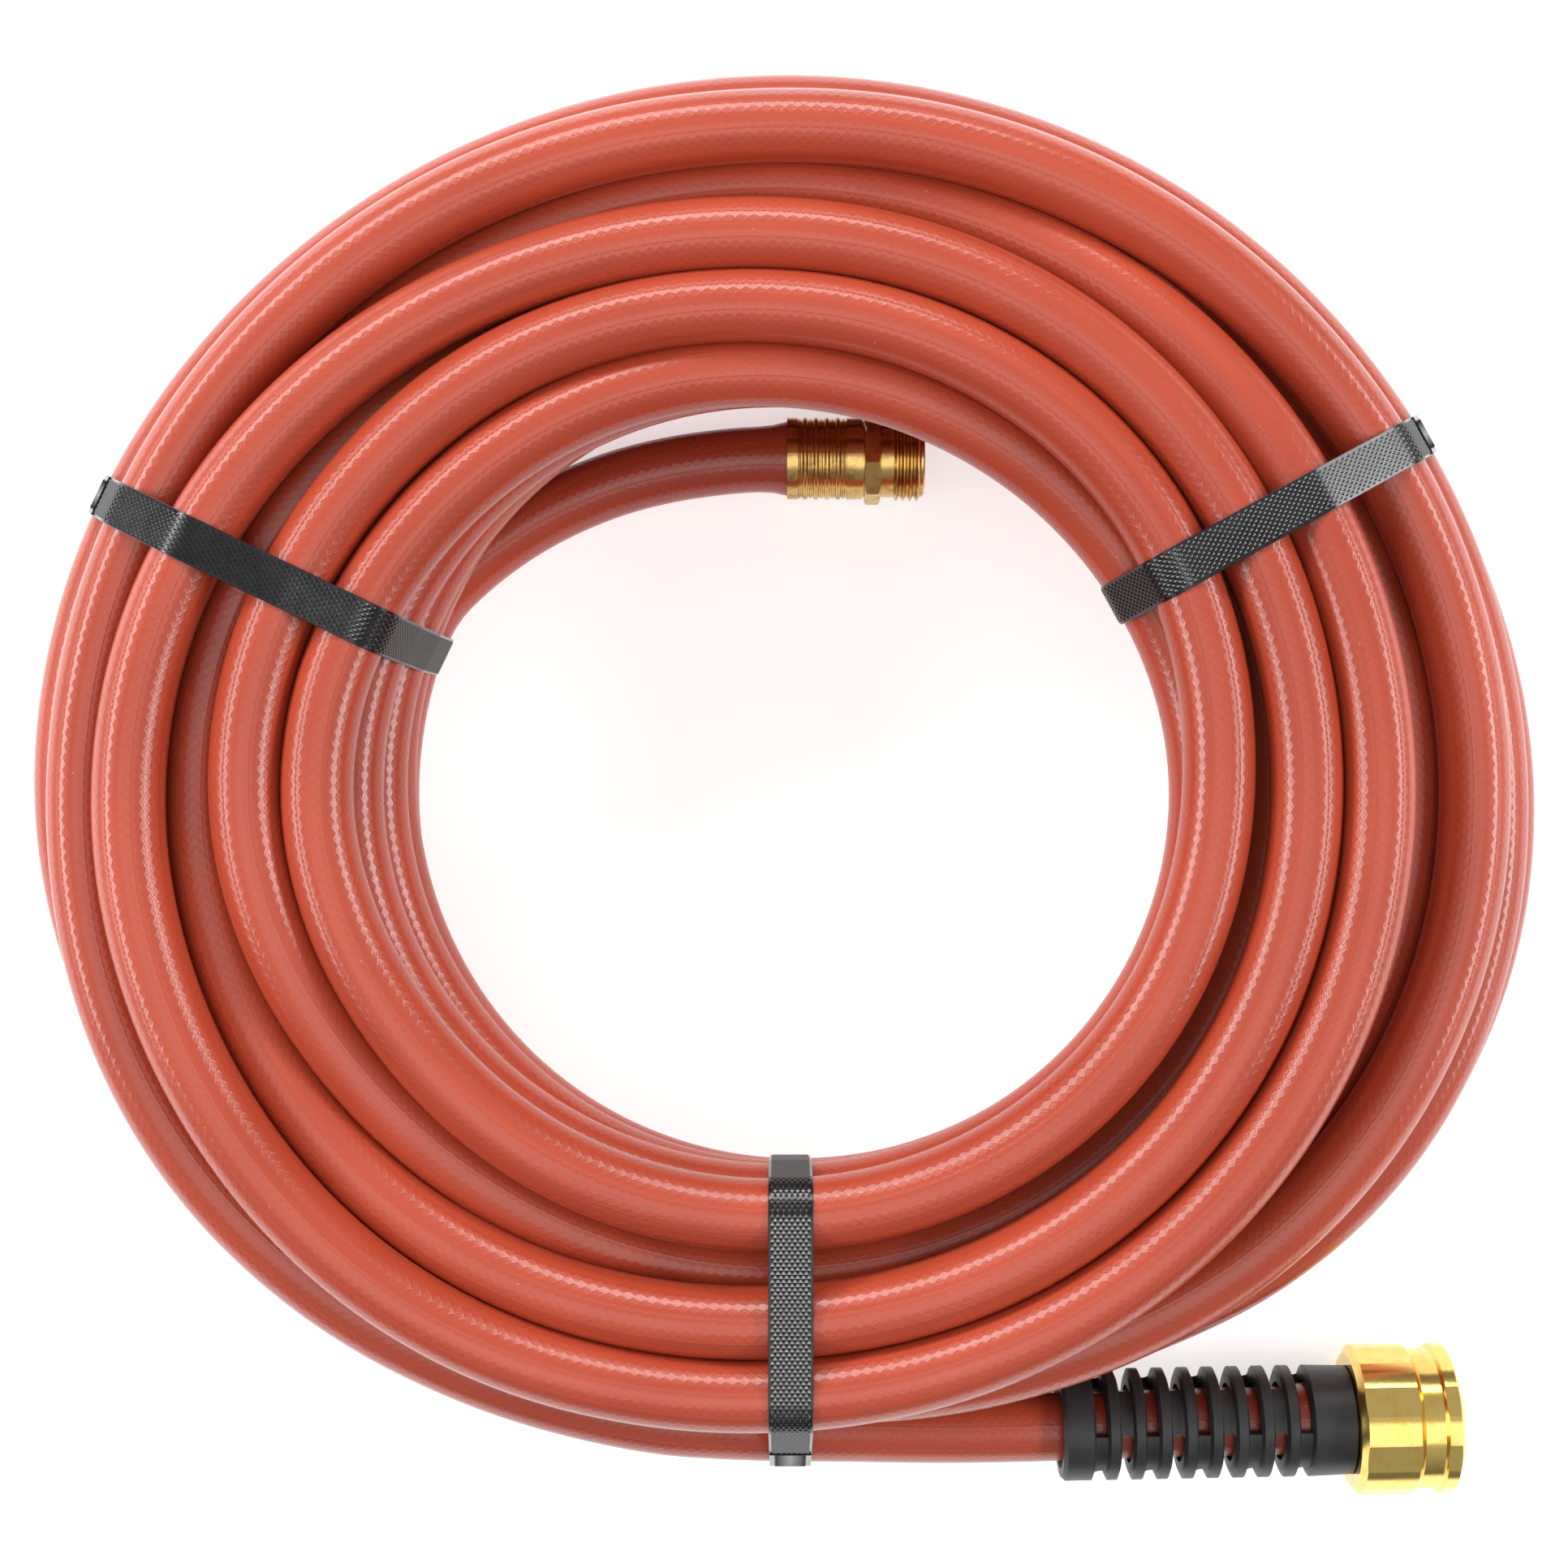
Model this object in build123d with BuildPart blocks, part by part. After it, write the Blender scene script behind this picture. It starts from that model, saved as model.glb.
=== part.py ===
"""Coiled garden hose, strapped flat: 75 ft of 5/8 in red hose with its two end couplings, in millimetres.

The coil lies on Z = 0 with +Z up and the origin under the middle of the whole object. The female
swivel coupling leaves the coil at -Y, heading +X, and the male end lies inside the coil, at +Y.
"""

import os
from math import cos, degrees, pi, radians, sin, sqrt, tan

from build123d import *

os.makedirs("parts", exist_ok=True)

# ---- hose ----
HOSE_OD = 21.0
HOSE_ID = 15.9
HOSE_R = HOSE_OD / 2
BORE_R = HOSE_ID / 2
SWELL_R = 12.1  # outer radius where the hose is stretched over a barbed tail
SWELL_BORE_R = 9.5
SWELL_RUN = 6.5  # length over which the hose swells
SWELL_ROOT = 3.0  # the swollen end starts this far inside the plain hose's wall
SWELL_WALL_STEP = 1.5  # the bore opens up over this length just before the barbs
SWELL_ROOT_RADII = (7.5, 9.5)  # inner and outer radius of that start

# ---- coil: an oval ring, its eye a little off centre ----
COIL_HEIGHT = 104.0
COIL_CENTRE = (0.0, 4.0)
COIL_HALF = (231.5, 215.5)
EYE_CENTRE = (-4.8, 2.0)
EYE_R = 113.5
SHOULDER_R = 38.0  # rounding of the outer top edge, where the outer turns step down
EDGE_R = 10.0  # rounding of the other three edges

# ---- straps: plastic bands round the section of the ring ----
STRAP_WIDTH = 12.7
STRAP_THICK = 0.6
STRAP_PLAY = 0.3
WELD_LENGTH = 30.0  # where the two ends of a band overlap and are welded
WELD_HEIGHT = 26.0
# each strap: the azimuth of its run across the ring, and a point under that run
STRAPS = {
    "strap_left": (154.4, (-148.9, 62.3)),
    "strap_right": (28.7, (134.6, 79.6)),
    "strap_front": (270.0, (-1.6, -160.0)),
}

# ---- female coupling, measured along its axis from the open end of the kink guard ----
NUT_R = 23.15
FLOOR_PLAY = 0.05
GUARD_START = Vector(83.4, -198.6, NUT_R + FLOOR_PLAY)
FEMALE_YAW = 1.1
GUARD_LENGTH = 91.0
GUARD_R = 17.1  # over the ribs
WEB_R = 15.2  # outside of the sleeve between the ribs
GUARD_BORE_R = 12.0
SLEEVE_BORE_R = 13.1
END_RING = 10.1
GAP_PITCH = 7.95
GAP_COUNT = 9
GAP_WIDTH = 3.6
RIB_CHAMFER = 0.8
END_ROUND = 1.2  # bevel of the guard's open end
MOUTH_FLARE = 5.0
BRIDGE_ARC = 46.0
BRIDGE_TURNS = (90.0, -35.0)  # where the bridges stand in odd and even gaps, from +Z towards +Y
FERRULE_START = 79.0
NUT_START = 91.4
NUT_LENGTH = 31.8
NUT_BODY = 19.4
NUT_GROOVE = 6.2
GROOVE_R = 21.7
NUT_FLATS = 8
FLAT_HALF_ARC = 11.25
FLAT_TURN = 17.7  # the flat nearest the top leans this far from +Z towards +Y
NUT_CHAMFER = 1.6
RECESS_R = 14.3
RECESS_DEPTH = 7.6
NECK_R = 10.9
WEB_THICK = 3.0
RUNNING_PLAY = 0.08
FLANGE_R = 12.1
FLANGE_THICK = 2.2
WASHER_R = 12.7
WASHER_BORE_R = 7.5
WASHER_THICK = 2.8
STEM_BORE_R = 6.2

# ---- hose thread, 3/4-11.5 ----
THREAD_PITCH = 25.4 / 11.5
MALE_MAJOR_R = 13.5
MALE_MINOR_R = 12.15
FEMALE_MINOR_R = 12.3
FEMALE_MAJOR_R = 13.65
CREST_WIDTH = 0.36
THREAD_SLOPE = tan(radians(30))
FEMALE_THREADS = 6
MALE_THREADS = 4

# ---- male end, measured along its axis from the open end of its ferrule ----
MALE_START = Vector(-2.5, 108.5, 14.5)
MALE_FERRULE = 24.3
FERRULE_R = 13.0
FERRULE_VALLEY_R = 12.35
RIDGE_FIRST = 5.7
RIDGE_PITCH = 3.49
RIDGE_COUNT = 4
RIDGE_R = 0.95
BEAD_R = 0.4
END_BAND = 3.4
COLLAR_BAND = 4.8
OCTAGON_R = 14.75  # over its corners
OCTAGON_TURN = 12.0
OCTAGON_THICK = 5.0
OCTAGON_CHAMFER = 0.9
MALE_NECK_R = 12.25
MALE_NECK = 4.0
THREAD_RUN = 9.9
MALE_BORE_R = 7.0
POCKET_R = 15.4  # clear space in the coil round the male end
POCKET_AHEAD = 18.0
GUARD_POCKET_R = 17.6  # and beside the kink guard

# ---- the hose where it isn't coiled ----
# from inside the coil, down past the front strap, and level through the kink guard
LEAD_ROUTE = [
    (-48.0, -189.3, 50.5),
    (-16.0, -193.0, 44.9),
    (16.0, -195.3, 37.6),
    (48.0, -198.0, 30.0),
    (77.0, -198.9, 24.6),
    (104.0, -198.4, 23.2),
    (130.0, -197.6, 23.1),
]
# from the innermost turn, along the inner wall, up to the male end
TAIL_ROUTE = [
    (-119.9, 59.7, 11.4),
    (-102.9, 76.7, 11.2),
    (-83.1, 90.3, 11.1),
    (-61.2, 100.1, 11.4),
    (-41.8, 105.1, 12.7),
    (-23.6, 107.6, 14.0),
]


def along(start, yaw_deg, distance):
    """The point at a distance along a level axis."""
    return start + Vector(cos(radians(yaw_deg)), sin(radians(yaw_deg)), 0) * distance


def section_plane(start, yaw_deg):
    """A plane through a level axis: local X runs along the axis and local Y stands up."""
    return Plane(origin=start, x_dir=(cos(radians(yaw_deg)), sin(radians(yaw_deg)), 0), z_dir=(
        sin(radians(yaw_deg)), -cos(radians(yaw_deg)), 0))


def cross_plane(start, yaw_deg, distance):
    """A plane across a level axis: local X is up and local Y lies to the left of the axis."""
    direction = (cos(radians(yaw_deg)), sin(radians(yaw_deg)), 0)
    return Plane(origin=along(start, yaw_deg, distance), x_dir=(0, 0, 1), z_dir=direction)


def level_axis(start, yaw_deg):
    """The axis itself."""
    return Axis(start, (cos(radians(yaw_deg)), sin(radians(yaw_deg)), 0))


def route_radii(points):
    """One arc radius per corner: 0.45 of the shorter run over the tangent of half the turn."""
    radii = []
    for before, at, after in zip(points, points[1:], points[2:]):
        run_in = Vector(at) - Vector(before)
        run_out = Vector(after) - Vector(at)
        half_turn = radians(run_in.get_angle(run_out)) / 2
        radii.append(0.45 * min(run_in.length, run_out.length) / tan(half_turn))
    return radii


def report_tube(name, part, path_length):
    """Print a tube's volume beside its section times its length."""
    expected = pi * (HOSE_R**2 - BORE_R**2) * path_length
    print(name, "length", round(path_length, 1), "volume", round(part.volume), "expected", round(expected))


def thread_outline(start, count, crest_r, root_r):
    """Corners of a row of thread ridges along the axis, from root to crest and back."""
    flank = abs(crest_r - root_r) * THREAD_SLOPE
    corners = []
    for turn in range(count):
        middle = start + THREAD_PITCH * (turn + 0.5)
        corners.append((middle - CREST_WIDTH / 2 - flank, root_r))
        corners.append((middle - CREST_WIDTH / 2, crest_r))
        corners.append((middle + CREST_WIDTH / 2, crest_r))
        corners.append((middle + CREST_WIDTH / 2 + flank, root_r))
    return corners


def swell_outline(mouth, end):
    """Half outline, as (along, radius), of a hose end stretched over a barbed tail from mouth to end."""
    inner, outer = SWELL_ROOT_RADII
    root = mouth - SWELL_RUN - SWELL_ROOT
    return [
        (root, inner),
        (root, outer),
        (mouth, SWELL_R),
        (end, SWELL_R),
        (end, SWELL_BORE_R),
        (mouth, SWELL_BORE_R),
        (mouth - SWELL_WALL_STEP, inner),
    ]


def finish(part, name):
    """Label a piece and write it."""
    part.label = name
    export_step(part, f"parts/{name}.step")


def ring_reach(azimuth, point):
    """Where a level line through a point crosses the eye and the outside of the ring."""
    ux = cos(radians(azimuth))
    uy = sin(radians(azimuth))
    ex = point[0] - EYE_CENTRE[0]
    ey = point[1] - EYE_CENTRE[1]
    half = ex * ux + ey * uy
    to_eye = -half + sqrt(half**2 - (ex**2 + ey**2 - EYE_R**2))
    ox = (point[0] - COIL_CENTRE[0]) / COIL_HALF[0]
    oy = (point[1] - COIL_CENTRE[1]) / COIL_HALF[1]
    vx = ux / COIL_HALF[0]
    vy = uy / COIL_HALF[1]
    a = vx**2 + vy**2
    b = ox * vx + oy * vy
    to_outside = (-b + sqrt(b**2 - a * (ox**2 + oy**2 - 1))) / a
    return to_eye, to_outside


def strap_plane(azimuth, point):
    """The upright plane of a strap: local X outwards over the ring, local Y up."""
    across = (sin(radians(azimuth)), -cos(radians(azimuth)), 0)
    return Plane(origin=(point[0], point[1], 0), x_dir=(cos(radians(azimuth)), sin(radians(azimuth)), 0),
                 z_dir=across)


def section_outline(reach, inset):
    """Draw the ring's section, inset all round, as a closed outline with rounded corners."""
    left = reach[0] + inset
    right = reach[1] - inset
    low = inset
    high = COIL_HEIGHT - inset
    edge = EDGE_R - inset
    shoulder = SHOULDER_R - inset
    with BuildLine() as outline:
        Line((left + edge, low), (right - edge, low))
        RadiusArc((right - edge, low), (right, low + edge), -edge)
        Line((right, low + edge), (right, high - shoulder))
        RadiusArc((right, high - shoulder), (right - shoulder, high), -shoulder)
        Line((right - shoulder, high), (left + edge, high))
        RadiusArc((left + edge, high), (left, high - edge), -edge)
        Line((left, high - edge), (left, low + edge))
        RadiusArc((left, low + edge), (left + edge, low), -edge)
    make_face(outline.line)


# ================= coil =================
# the outer shape of all the turns, with a groove for each strap and a pocket for the male end
with BuildPart() as hose_coil:
    with BuildSketch(Plane.XY):
        with Locations(COIL_CENTRE):
            Ellipse(*COIL_HALF)
        with Locations(EYE_CENTRE):
            Circle(EYE_R, mode=Mode.SUBTRACT)
    extrude(amount=COIL_HEIGHT)
    top_edges = hose_coil.edges().group_by(Axis.Z)[-1].sort_by(SortBy.LENGTH)
    fillet(top_edges[-1], SHOULDER_R)
    top_inner = hose_coil.edges().group_by(Axis.Z)[-1].sort_by(SortBy.LENGTH)[0]
    fillet(top_inner, EDGE_R)
    fillet(hose_coil.edges().group_by(Axis.Z)[0], EDGE_R)
    for azimuth, point in STRAPS.values():
        reach = ring_reach(azimuth, point)
        with BuildSketch(strap_plane(azimuth, point)):
            with Locations(((reach[0] + reach[1]) / 2, COIL_HEIGHT / 2)):
                Rectangle(reach[1] - reach[0] + 20, COIL_HEIGHT + 20)
            with BuildSketch(mode=Mode.PRIVATE) as kept:
                section_outline(reach, STRAP_THICK + STRAP_PLAY)
            add(kept.sketch, mode=Mode.SUBTRACT)
        extrude(amount=STRAP_WIDTH / 2 + STRAP_PLAY, both=True, mode=Mode.SUBTRACT)
    with BuildSketch(cross_plane(MALE_START, 0, -2.0)):
        Circle(POCKET_R)
    extrude(amount=MALE_FERRULE + OCTAGON_THICK + MALE_NECK + THREAD_RUN + POCKET_AHEAD, mode=Mode.SUBTRACT)
    with BuildSketch(cross_plane(GUARD_START, FEMALE_YAW, -3.0)):
        Circle(GUARD_POCKET_R)
    extrude(amount=GUARD_LENGTH, mode=Mode.SUBTRACT)
finish(hose_coil.part, "hose_coil")

# ================= straps =================
for name, (azimuth, point) in STRAPS.items():
    reach = ring_reach(azimuth, point)
    with BuildPart() as strap:
        with BuildSketch(strap_plane(azimuth, point)):
            section_outline(reach, 0)
            with BuildSketch(mode=Mode.PRIVATE) as inside:
                section_outline(reach, STRAP_THICK)
            add(inside.sketch, mode=Mode.SUBTRACT)
        extrude(amount=STRAP_WIDTH / 2, both=True)
        # the welded overlap stands proud of the outer run
        with BuildSketch(strap_plane(azimuth, point)):
            with Locations((reach[1] + STRAP_THICK / 2, WELD_HEIGHT + WELD_LENGTH / 2 - EDGE_R)):
                Rectangle(STRAP_THICK, WELD_LENGTH)
        extrude(amount=STRAP_WIDTH / 2, both=True)
    finish(strap.part, name)

# ================= female end =================
female_axis = level_axis(GUARD_START, FEMALE_YAW)
female_section = section_plane(GUARD_START, FEMALE_YAW)
ferrule_end = NUT_START + RECESS_DEPTH - 0.4
web_front = NUT_START + RECESS_DEPTH + WEB_THICK
flange_back = web_front + STRAP_PLAY
washer_back = flange_back + FLANGE_THICK + STRAP_PLAY
washer_front = washer_back + WASHER_THICK
thread_back = washer_front + 0.8
nut_end = NUT_START + NUT_LENGTH
nut_across = cross_plane(GUARD_START, FEMALE_YAW, NUT_START)

# hose from the coil to the coupling, swollen over the barbed tail
with BuildPart() as hose_lead:
    swell_end = along(GUARD_START, FEMALE_YAW, FERRULE_START - SWELL_RUN)
    lead_points = LEAD_ROUTE + [tuple(swell_end)]
    lead_radii = route_radii(lead_points)
    print("lead radii", [round(r) for r in lead_radii])
    with BuildLine() as lead_path:
        FilletPolyline(*lead_points, radius=lead_radii)
    lead_wire = lead_path.wires()[0]
    with BuildSketch(Plane(origin=lead_wire @ 0, z_dir=lead_wire % 0)):
        Circle(HOSE_R)
        Circle(BORE_R, mode=Mode.SUBTRACT)
    sweep(path=lead_wire)
    report_tube("hose_lead", hose_lead.part, lead_wire.length)
    with BuildSketch(female_section):
        with BuildLine():
            Polyline(*swell_outline(FERRULE_START, ferrule_end), close=True)
        make_face()
    revolve(axis=female_axis)
finish(hose_lead.part, "hose_lead")

# crimped brass sleeve round the swollen hose
with BuildPart() as female_ferrule:
    with BuildSketch(female_section):
        with BuildLine():
            Polyline(
                (FERRULE_START, SWELL_R),
                (FERRULE_START, SLEEVE_BORE_R - 0.1),
                (ferrule_end + 0.4, SLEEVE_BORE_R - 0.1),
                (ferrule_end + 0.4, NECK_R),
                (ferrule_end, NECK_R),
                (ferrule_end, SWELL_R),
                close=True,
            )
        make_face()
    revolve(axis=female_axis)
finish(female_ferrule.part, "female_ferrule")

# turned stem: flange held inside the nut, neck through its web, barbed tail in the hose
with BuildPart() as female_stem:
    with BuildSketch(female_section):
        with BuildLine():
            Polyline(
                (FERRULE_START, STEM_BORE_R),
                (FERRULE_START, SWELL_BORE_R - 1.2),
                (FERRULE_START + 3.0, SWELL_BORE_R),
                (FERRULE_START + 6.0, SWELL_BORE_R - 0.8),
                (FERRULE_START + 6.2, SWELL_BORE_R),
                (FERRULE_START + 11.0, SWELL_BORE_R - 0.8),
                (FERRULE_START + 11.2, SWELL_BORE_R),
                (ferrule_end, SWELL_BORE_R),
                (ferrule_end, NECK_R),
                (flange_back, NECK_R),
                (flange_back, FLANGE_R),
                (flange_back + FLANGE_THICK, FLANGE_R),
                (flange_back + FLANGE_THICK, STEM_BORE_R),
                close=True,
            )
        make_face()
    revolve(axis=female_axis)
finish(female_stem.part, "female_stem")

# swivel nut: eight shallow flats on a round body, a groove, and a rim with the same flats
female_thread = thread_outline(thread_back, FEMALE_THREADS, FEMALE_MINOR_R, FEMALE_MAJOR_R)
with BuildPart() as swivel_nut:
    with BuildSketch(female_section):
        with BuildLine():
            Polyline(
                (NUT_START, RECESS_R),
                (NUT_START, NUT_R - NUT_CHAMFER * 1.8),
                (NUT_START + NUT_CHAMFER, NUT_R),
                (NUT_START + NUT_BODY - NUT_CHAMFER, NUT_R),
                (NUT_START + NUT_BODY, GROOVE_R),
                (NUT_START + NUT_BODY + NUT_GROOVE, GROOVE_R),
                (NUT_START + NUT_BODY + NUT_GROOVE + NUT_CHAMFER / 2, NUT_R),
                (nut_end - NUT_CHAMFER, NUT_R),
                (nut_end, NUT_R - NUT_CHAMFER * 1.5),
                (nut_end, FEMALE_MAJOR_R + 0.9),
                (nut_end - 0.9, FEMALE_MAJOR_R),
                *reversed(female_thread),
                (washer_front, FEMALE_MAJOR_R),
                (washer_front, WASHER_R),
                (web_front, WASHER_R),
                (web_front, NECK_R + RUNNING_PLAY),
                (web_front - WEB_THICK, NECK_R + RUNNING_PLAY),
                (web_front - WEB_THICK, RECESS_R),
                close=True,
            )
        make_face()
    revolve(axis=female_axis)
    flat_depth = NUT_R * (1 - cos(radians(FLAT_HALF_ARC)))
    with BuildSketch(nut_across):
        with PolarLocations(NUT_R + 5 - flat_depth, NUT_FLATS, start_angle=FLAT_TURN):
            Rectangle(10, 2 * NUT_R * sin(radians(FLAT_HALF_ARC)) + 3)
    extrude(amount=NUT_LENGTH, mode=Mode.SUBTRACT)
finish(swivel_nut.part, "swivel_nut")

# rubber washer in front of the flange
with BuildPart() as hose_washer:
    with BuildSketch(cross_plane(GUARD_START, FEMALE_YAW, washer_back)):
        Circle(WASHER_R)
        Circle(WASHER_BORE_R, mode=Mode.SUBTRACT)
    extrude(amount=WASHER_THICK)
finish(hose_washer.part, "hose_washer")

# kink guard: a sleeve with raised ribs, and in each gap between ribs two slots with round ends
rib_ends = [END_RING + GAP_PITCH * gap for gap in range(GAP_COUNT)]
with BuildPart() as kink_guard:
    with BuildSketch(female_section):
        outline = [
            (MOUTH_FLARE, GUARD_BORE_R),
            (0.0, GUARD_BORE_R + MOUTH_FLARE / 4),
            (0.0, GUARD_R - END_ROUND),
            (END_ROUND, GUARD_R),
        ]
        for rib_end in rib_ends:
            outline.append((rib_end - RIB_CHAMFER, GUARD_R))
            outline.append((rib_end, WEB_R))
            outline.append((rib_end + GAP_WIDTH, WEB_R))
            outline.append((rib_end + GAP_WIDTH + RIB_CHAMFER, GUARD_R))
        outline.append((GUARD_LENGTH, GUARD_R - 0.4))
        outline.append((GUARD_LENGTH, SLEEVE_BORE_R))
        outline.append((FERRULE_START - 1.0, SLEEVE_BORE_R))
        outline.append((FERRULE_START - 2.5, GUARD_BORE_R))
        with BuildLine():
            Polyline(*outline, close=True)
        make_face()
    revolve(axis=female_axis)
    slot_arc = 180 - BRIDGE_ARC - degrees(GAP_WIDTH / WEB_R)
    for gap, rib_end in enumerate(rib_ends):
        middle = rib_end + GAP_WIDTH / 2
        bridge = BRIDGE_TURNS[gap % 2]
        for half in (0, 180):
            start_turn = bridge + half + 90 - slot_arc / 2
            side = Vector(-sin(radians(FEMALE_YAW)), cos(radians(FEMALE_YAW)), 0)
            slot_start = Vector(0, 0, 1) * cos(radians(start_turn)) + side * sin(radians(start_turn))
            axis_dir = female_axis.direction
            with BuildSketch(Plane(origin=GUARD_START, x_dir=axis_dir, z_dir=axis_dir.cross(slot_start))):
                with Locations((middle, (WEB_R + GUARD_BORE_R) / 2)):
                    Rectangle(GAP_WIDTH, WEB_R - GUARD_BORE_R + 3)
            revolve(axis=female_axis, revolution_arc=slot_arc, mode=Mode.SUBTRACT)
            for end_turn in (start_turn, start_turn + slot_arc):
                outwards = Vector(0, 0, 1) * cos(radians(end_turn)) + side * sin(radians(end_turn))
                foot = along(GUARD_START, FEMALE_YAW, middle)
                with BuildSketch(Plane(origin=foot + outwards * (GUARD_BORE_R - 3), z_dir=outwards)):
                    Circle(GAP_WIDTH / 2)
                extrude(amount=WEB_R - GUARD_BORE_R + 4.5, mode=Mode.SUBTRACT)
finish(kink_guard.part, "kink_guard")

# ================= male end =================
male_axis = level_axis(MALE_START, 0)
male_section = section_plane(MALE_START, 0)
octagon_start = MALE_FERRULE + 0.3
neck_start = octagon_start + OCTAGON_THICK
thread_start = neck_start + MALE_NECK
male_end = thread_start + THREAD_RUN

# hose from the innermost turn to the male end, swollen over the barbed tail
with BuildPart() as hose_tail:
    swell_foot = along(MALE_START, 0, -SWELL_RUN)
    tail_points = TAIL_ROUTE + [tuple(swell_foot)]
    tail_radii = route_radii(tail_points)
    print("tail radii", [round(r) for r in tail_radii])
    with BuildLine() as tail_path:
        FilletPolyline(*tail_points, radius=tail_radii)
    tail_wire = tail_path.wires()[0]
    with BuildSketch(Plane(origin=tail_wire @ 0, z_dir=tail_wire % 0)):
        Circle(HOSE_R)
        Circle(BORE_R, mode=Mode.SUBTRACT)
    sweep(path=tail_wire)
    report_tube("hose_tail", hose_tail.part, tail_wire.length)
    with BuildSketch(male_section):
        with BuildLine():
            Polyline(*swell_outline(0, MALE_FERRULE - 0.5), close=True)
        make_face()
    revolve(axis=male_axis)
finish(hose_tail.part, "hose_tail")

# crimped ferrule: two plain bands, rounded ridges between them and a fine bead in each valley
with BuildPart() as male_ferrule:
    with BuildSketch(male_section):
        with Locations((MALE_FERRULE / 2, (SWELL_R + FERRULE_VALLEY_R) / 2)):
            Rectangle(MALE_FERRULE, FERRULE_VALLEY_R - SWELL_R)
        with Locations((END_BAND / 2, (SWELL_R + FERRULE_R) / 2)):
            Rectangle(END_BAND, FERRULE_R - SWELL_R)
        with Locations((MALE_FERRULE - COLLAR_BAND / 2 - 0.5, (SWELL_R + FERRULE_R) / 2)):
            Rectangle(COLLAR_BAND, FERRULE_R - SWELL_R)
        ridge_tops = [RIDGE_FIRST + RIDGE_PITCH * n for n in range(RIDGE_COUNT)]
        with Locations(*[(top, FERRULE_R + 0.1 - RIDGE_R) for top in ridge_tops]):
            Circle(RIDGE_R)
        beads = [RIDGE_FIRST + RIDGE_PITCH * (n - 0.5) for n in range(RIDGE_COUNT + 1)]
        with Locations(*[(bead, FERRULE_VALLEY_R) for bead in beads]):
            Circle(BEAD_R)
        with Locations((MALE_FERRULE / 2, SWELL_R / 2)):
            Rectangle(MALE_FERRULE + 2, SWELL_R, mode=Mode.SUBTRACT)
        with Locations((MALE_FERRULE - 0.25, (SWELL_R + NECK_R) / 2)):
            Rectangle(0.5, SWELL_R - NECK_R)
    revolve(axis=male_axis)
finish(male_ferrule.part, "male_ferrule")

# male fitting: barbed tail, eight-sided wrench collar, neck and thread
with BuildPart() as male_fitting:
    with BuildSketch(cross_plane(MALE_START, 0, octagon_start)):
        RegularPolygon(OCTAGON_R, 8, rotation=OCTAGON_TURN)
    extrude(amount=OCTAGON_THICK)
    with BuildSketch(male_section):
        with BuildLine():
            Polyline(
                (octagon_start, MALE_BORE_R),
                (octagon_start, OCTAGON_R - OCTAGON_CHAMFER),
                (octagon_start + OCTAGON_CHAMFER * 0.7, OCTAGON_R),
                (neck_start - OCTAGON_CHAMFER * 0.7, OCTAGON_R),
                (neck_start, OCTAGON_R - OCTAGON_CHAMFER),
                (neck_start, MALE_BORE_R),
                close=True,
            )
        make_face()
    revolve(axis=male_axis, mode=Mode.INTERSECT)
    with BuildSketch(male_section):
        with BuildLine():
            Polyline(
                (0, MALE_BORE_R),
                (0, SWELL_BORE_R - 1.2),
                (3.0, SWELL_BORE_R),
                (8.0, SWELL_BORE_R - 0.8),
                (8.2, SWELL_BORE_R),
                (14.0, SWELL_BORE_R - 0.8),
                (14.2, SWELL_BORE_R),
                (MALE_FERRULE - 0.5, SWELL_BORE_R),
                (MALE_FERRULE - 0.5, NECK_R),
                (octagon_start + 1.0, NECK_R),
                (octagon_start + 1.0, MALE_NECK_R),
                (thread_start, MALE_NECK_R),
                (thread_start, MALE_MINOR_R),
                *thread_outline(thread_start + 0.1, MALE_THREADS, MALE_MAJOR_R, MALE_MINOR_R),
                (male_end - 0.4, MALE_MINOR_R),
                (male_end, MALE_MINOR_R - 0.4),
                (male_end, MALE_BORE_R),
                close=True,
            )
        make_face()
    revolve(axis=male_axis)
finish(male_fitting.part, "male_fitting")

# the joint and the threads, as the record states them
print("nut axis direction", tuple(female_axis.direction))
female_places = {"thread first crest": thread_back + THREAD_PITCH / 2, "nut end": nut_end}
for label, distance in female_places.items():
    print(label, tuple(along(GUARD_START, FEMALE_YAW, distance)))
for label, distance in {"male thread start": thread_start, "male end": male_end}.items():
    print(label, tuple(along(MALE_START, 0, distance)))
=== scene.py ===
"""Strapped coil of red garden hose: its turns, straps and couplings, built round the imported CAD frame.

The whole hose is one cord, from the crimped male end inside the coil, through all the turns, to the
swivel coupling at the front. Every size is in metres, in the same frame as the CAD.
"""
import logging
import math
from dataclasses import dataclass, field
from enum import Enum

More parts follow.
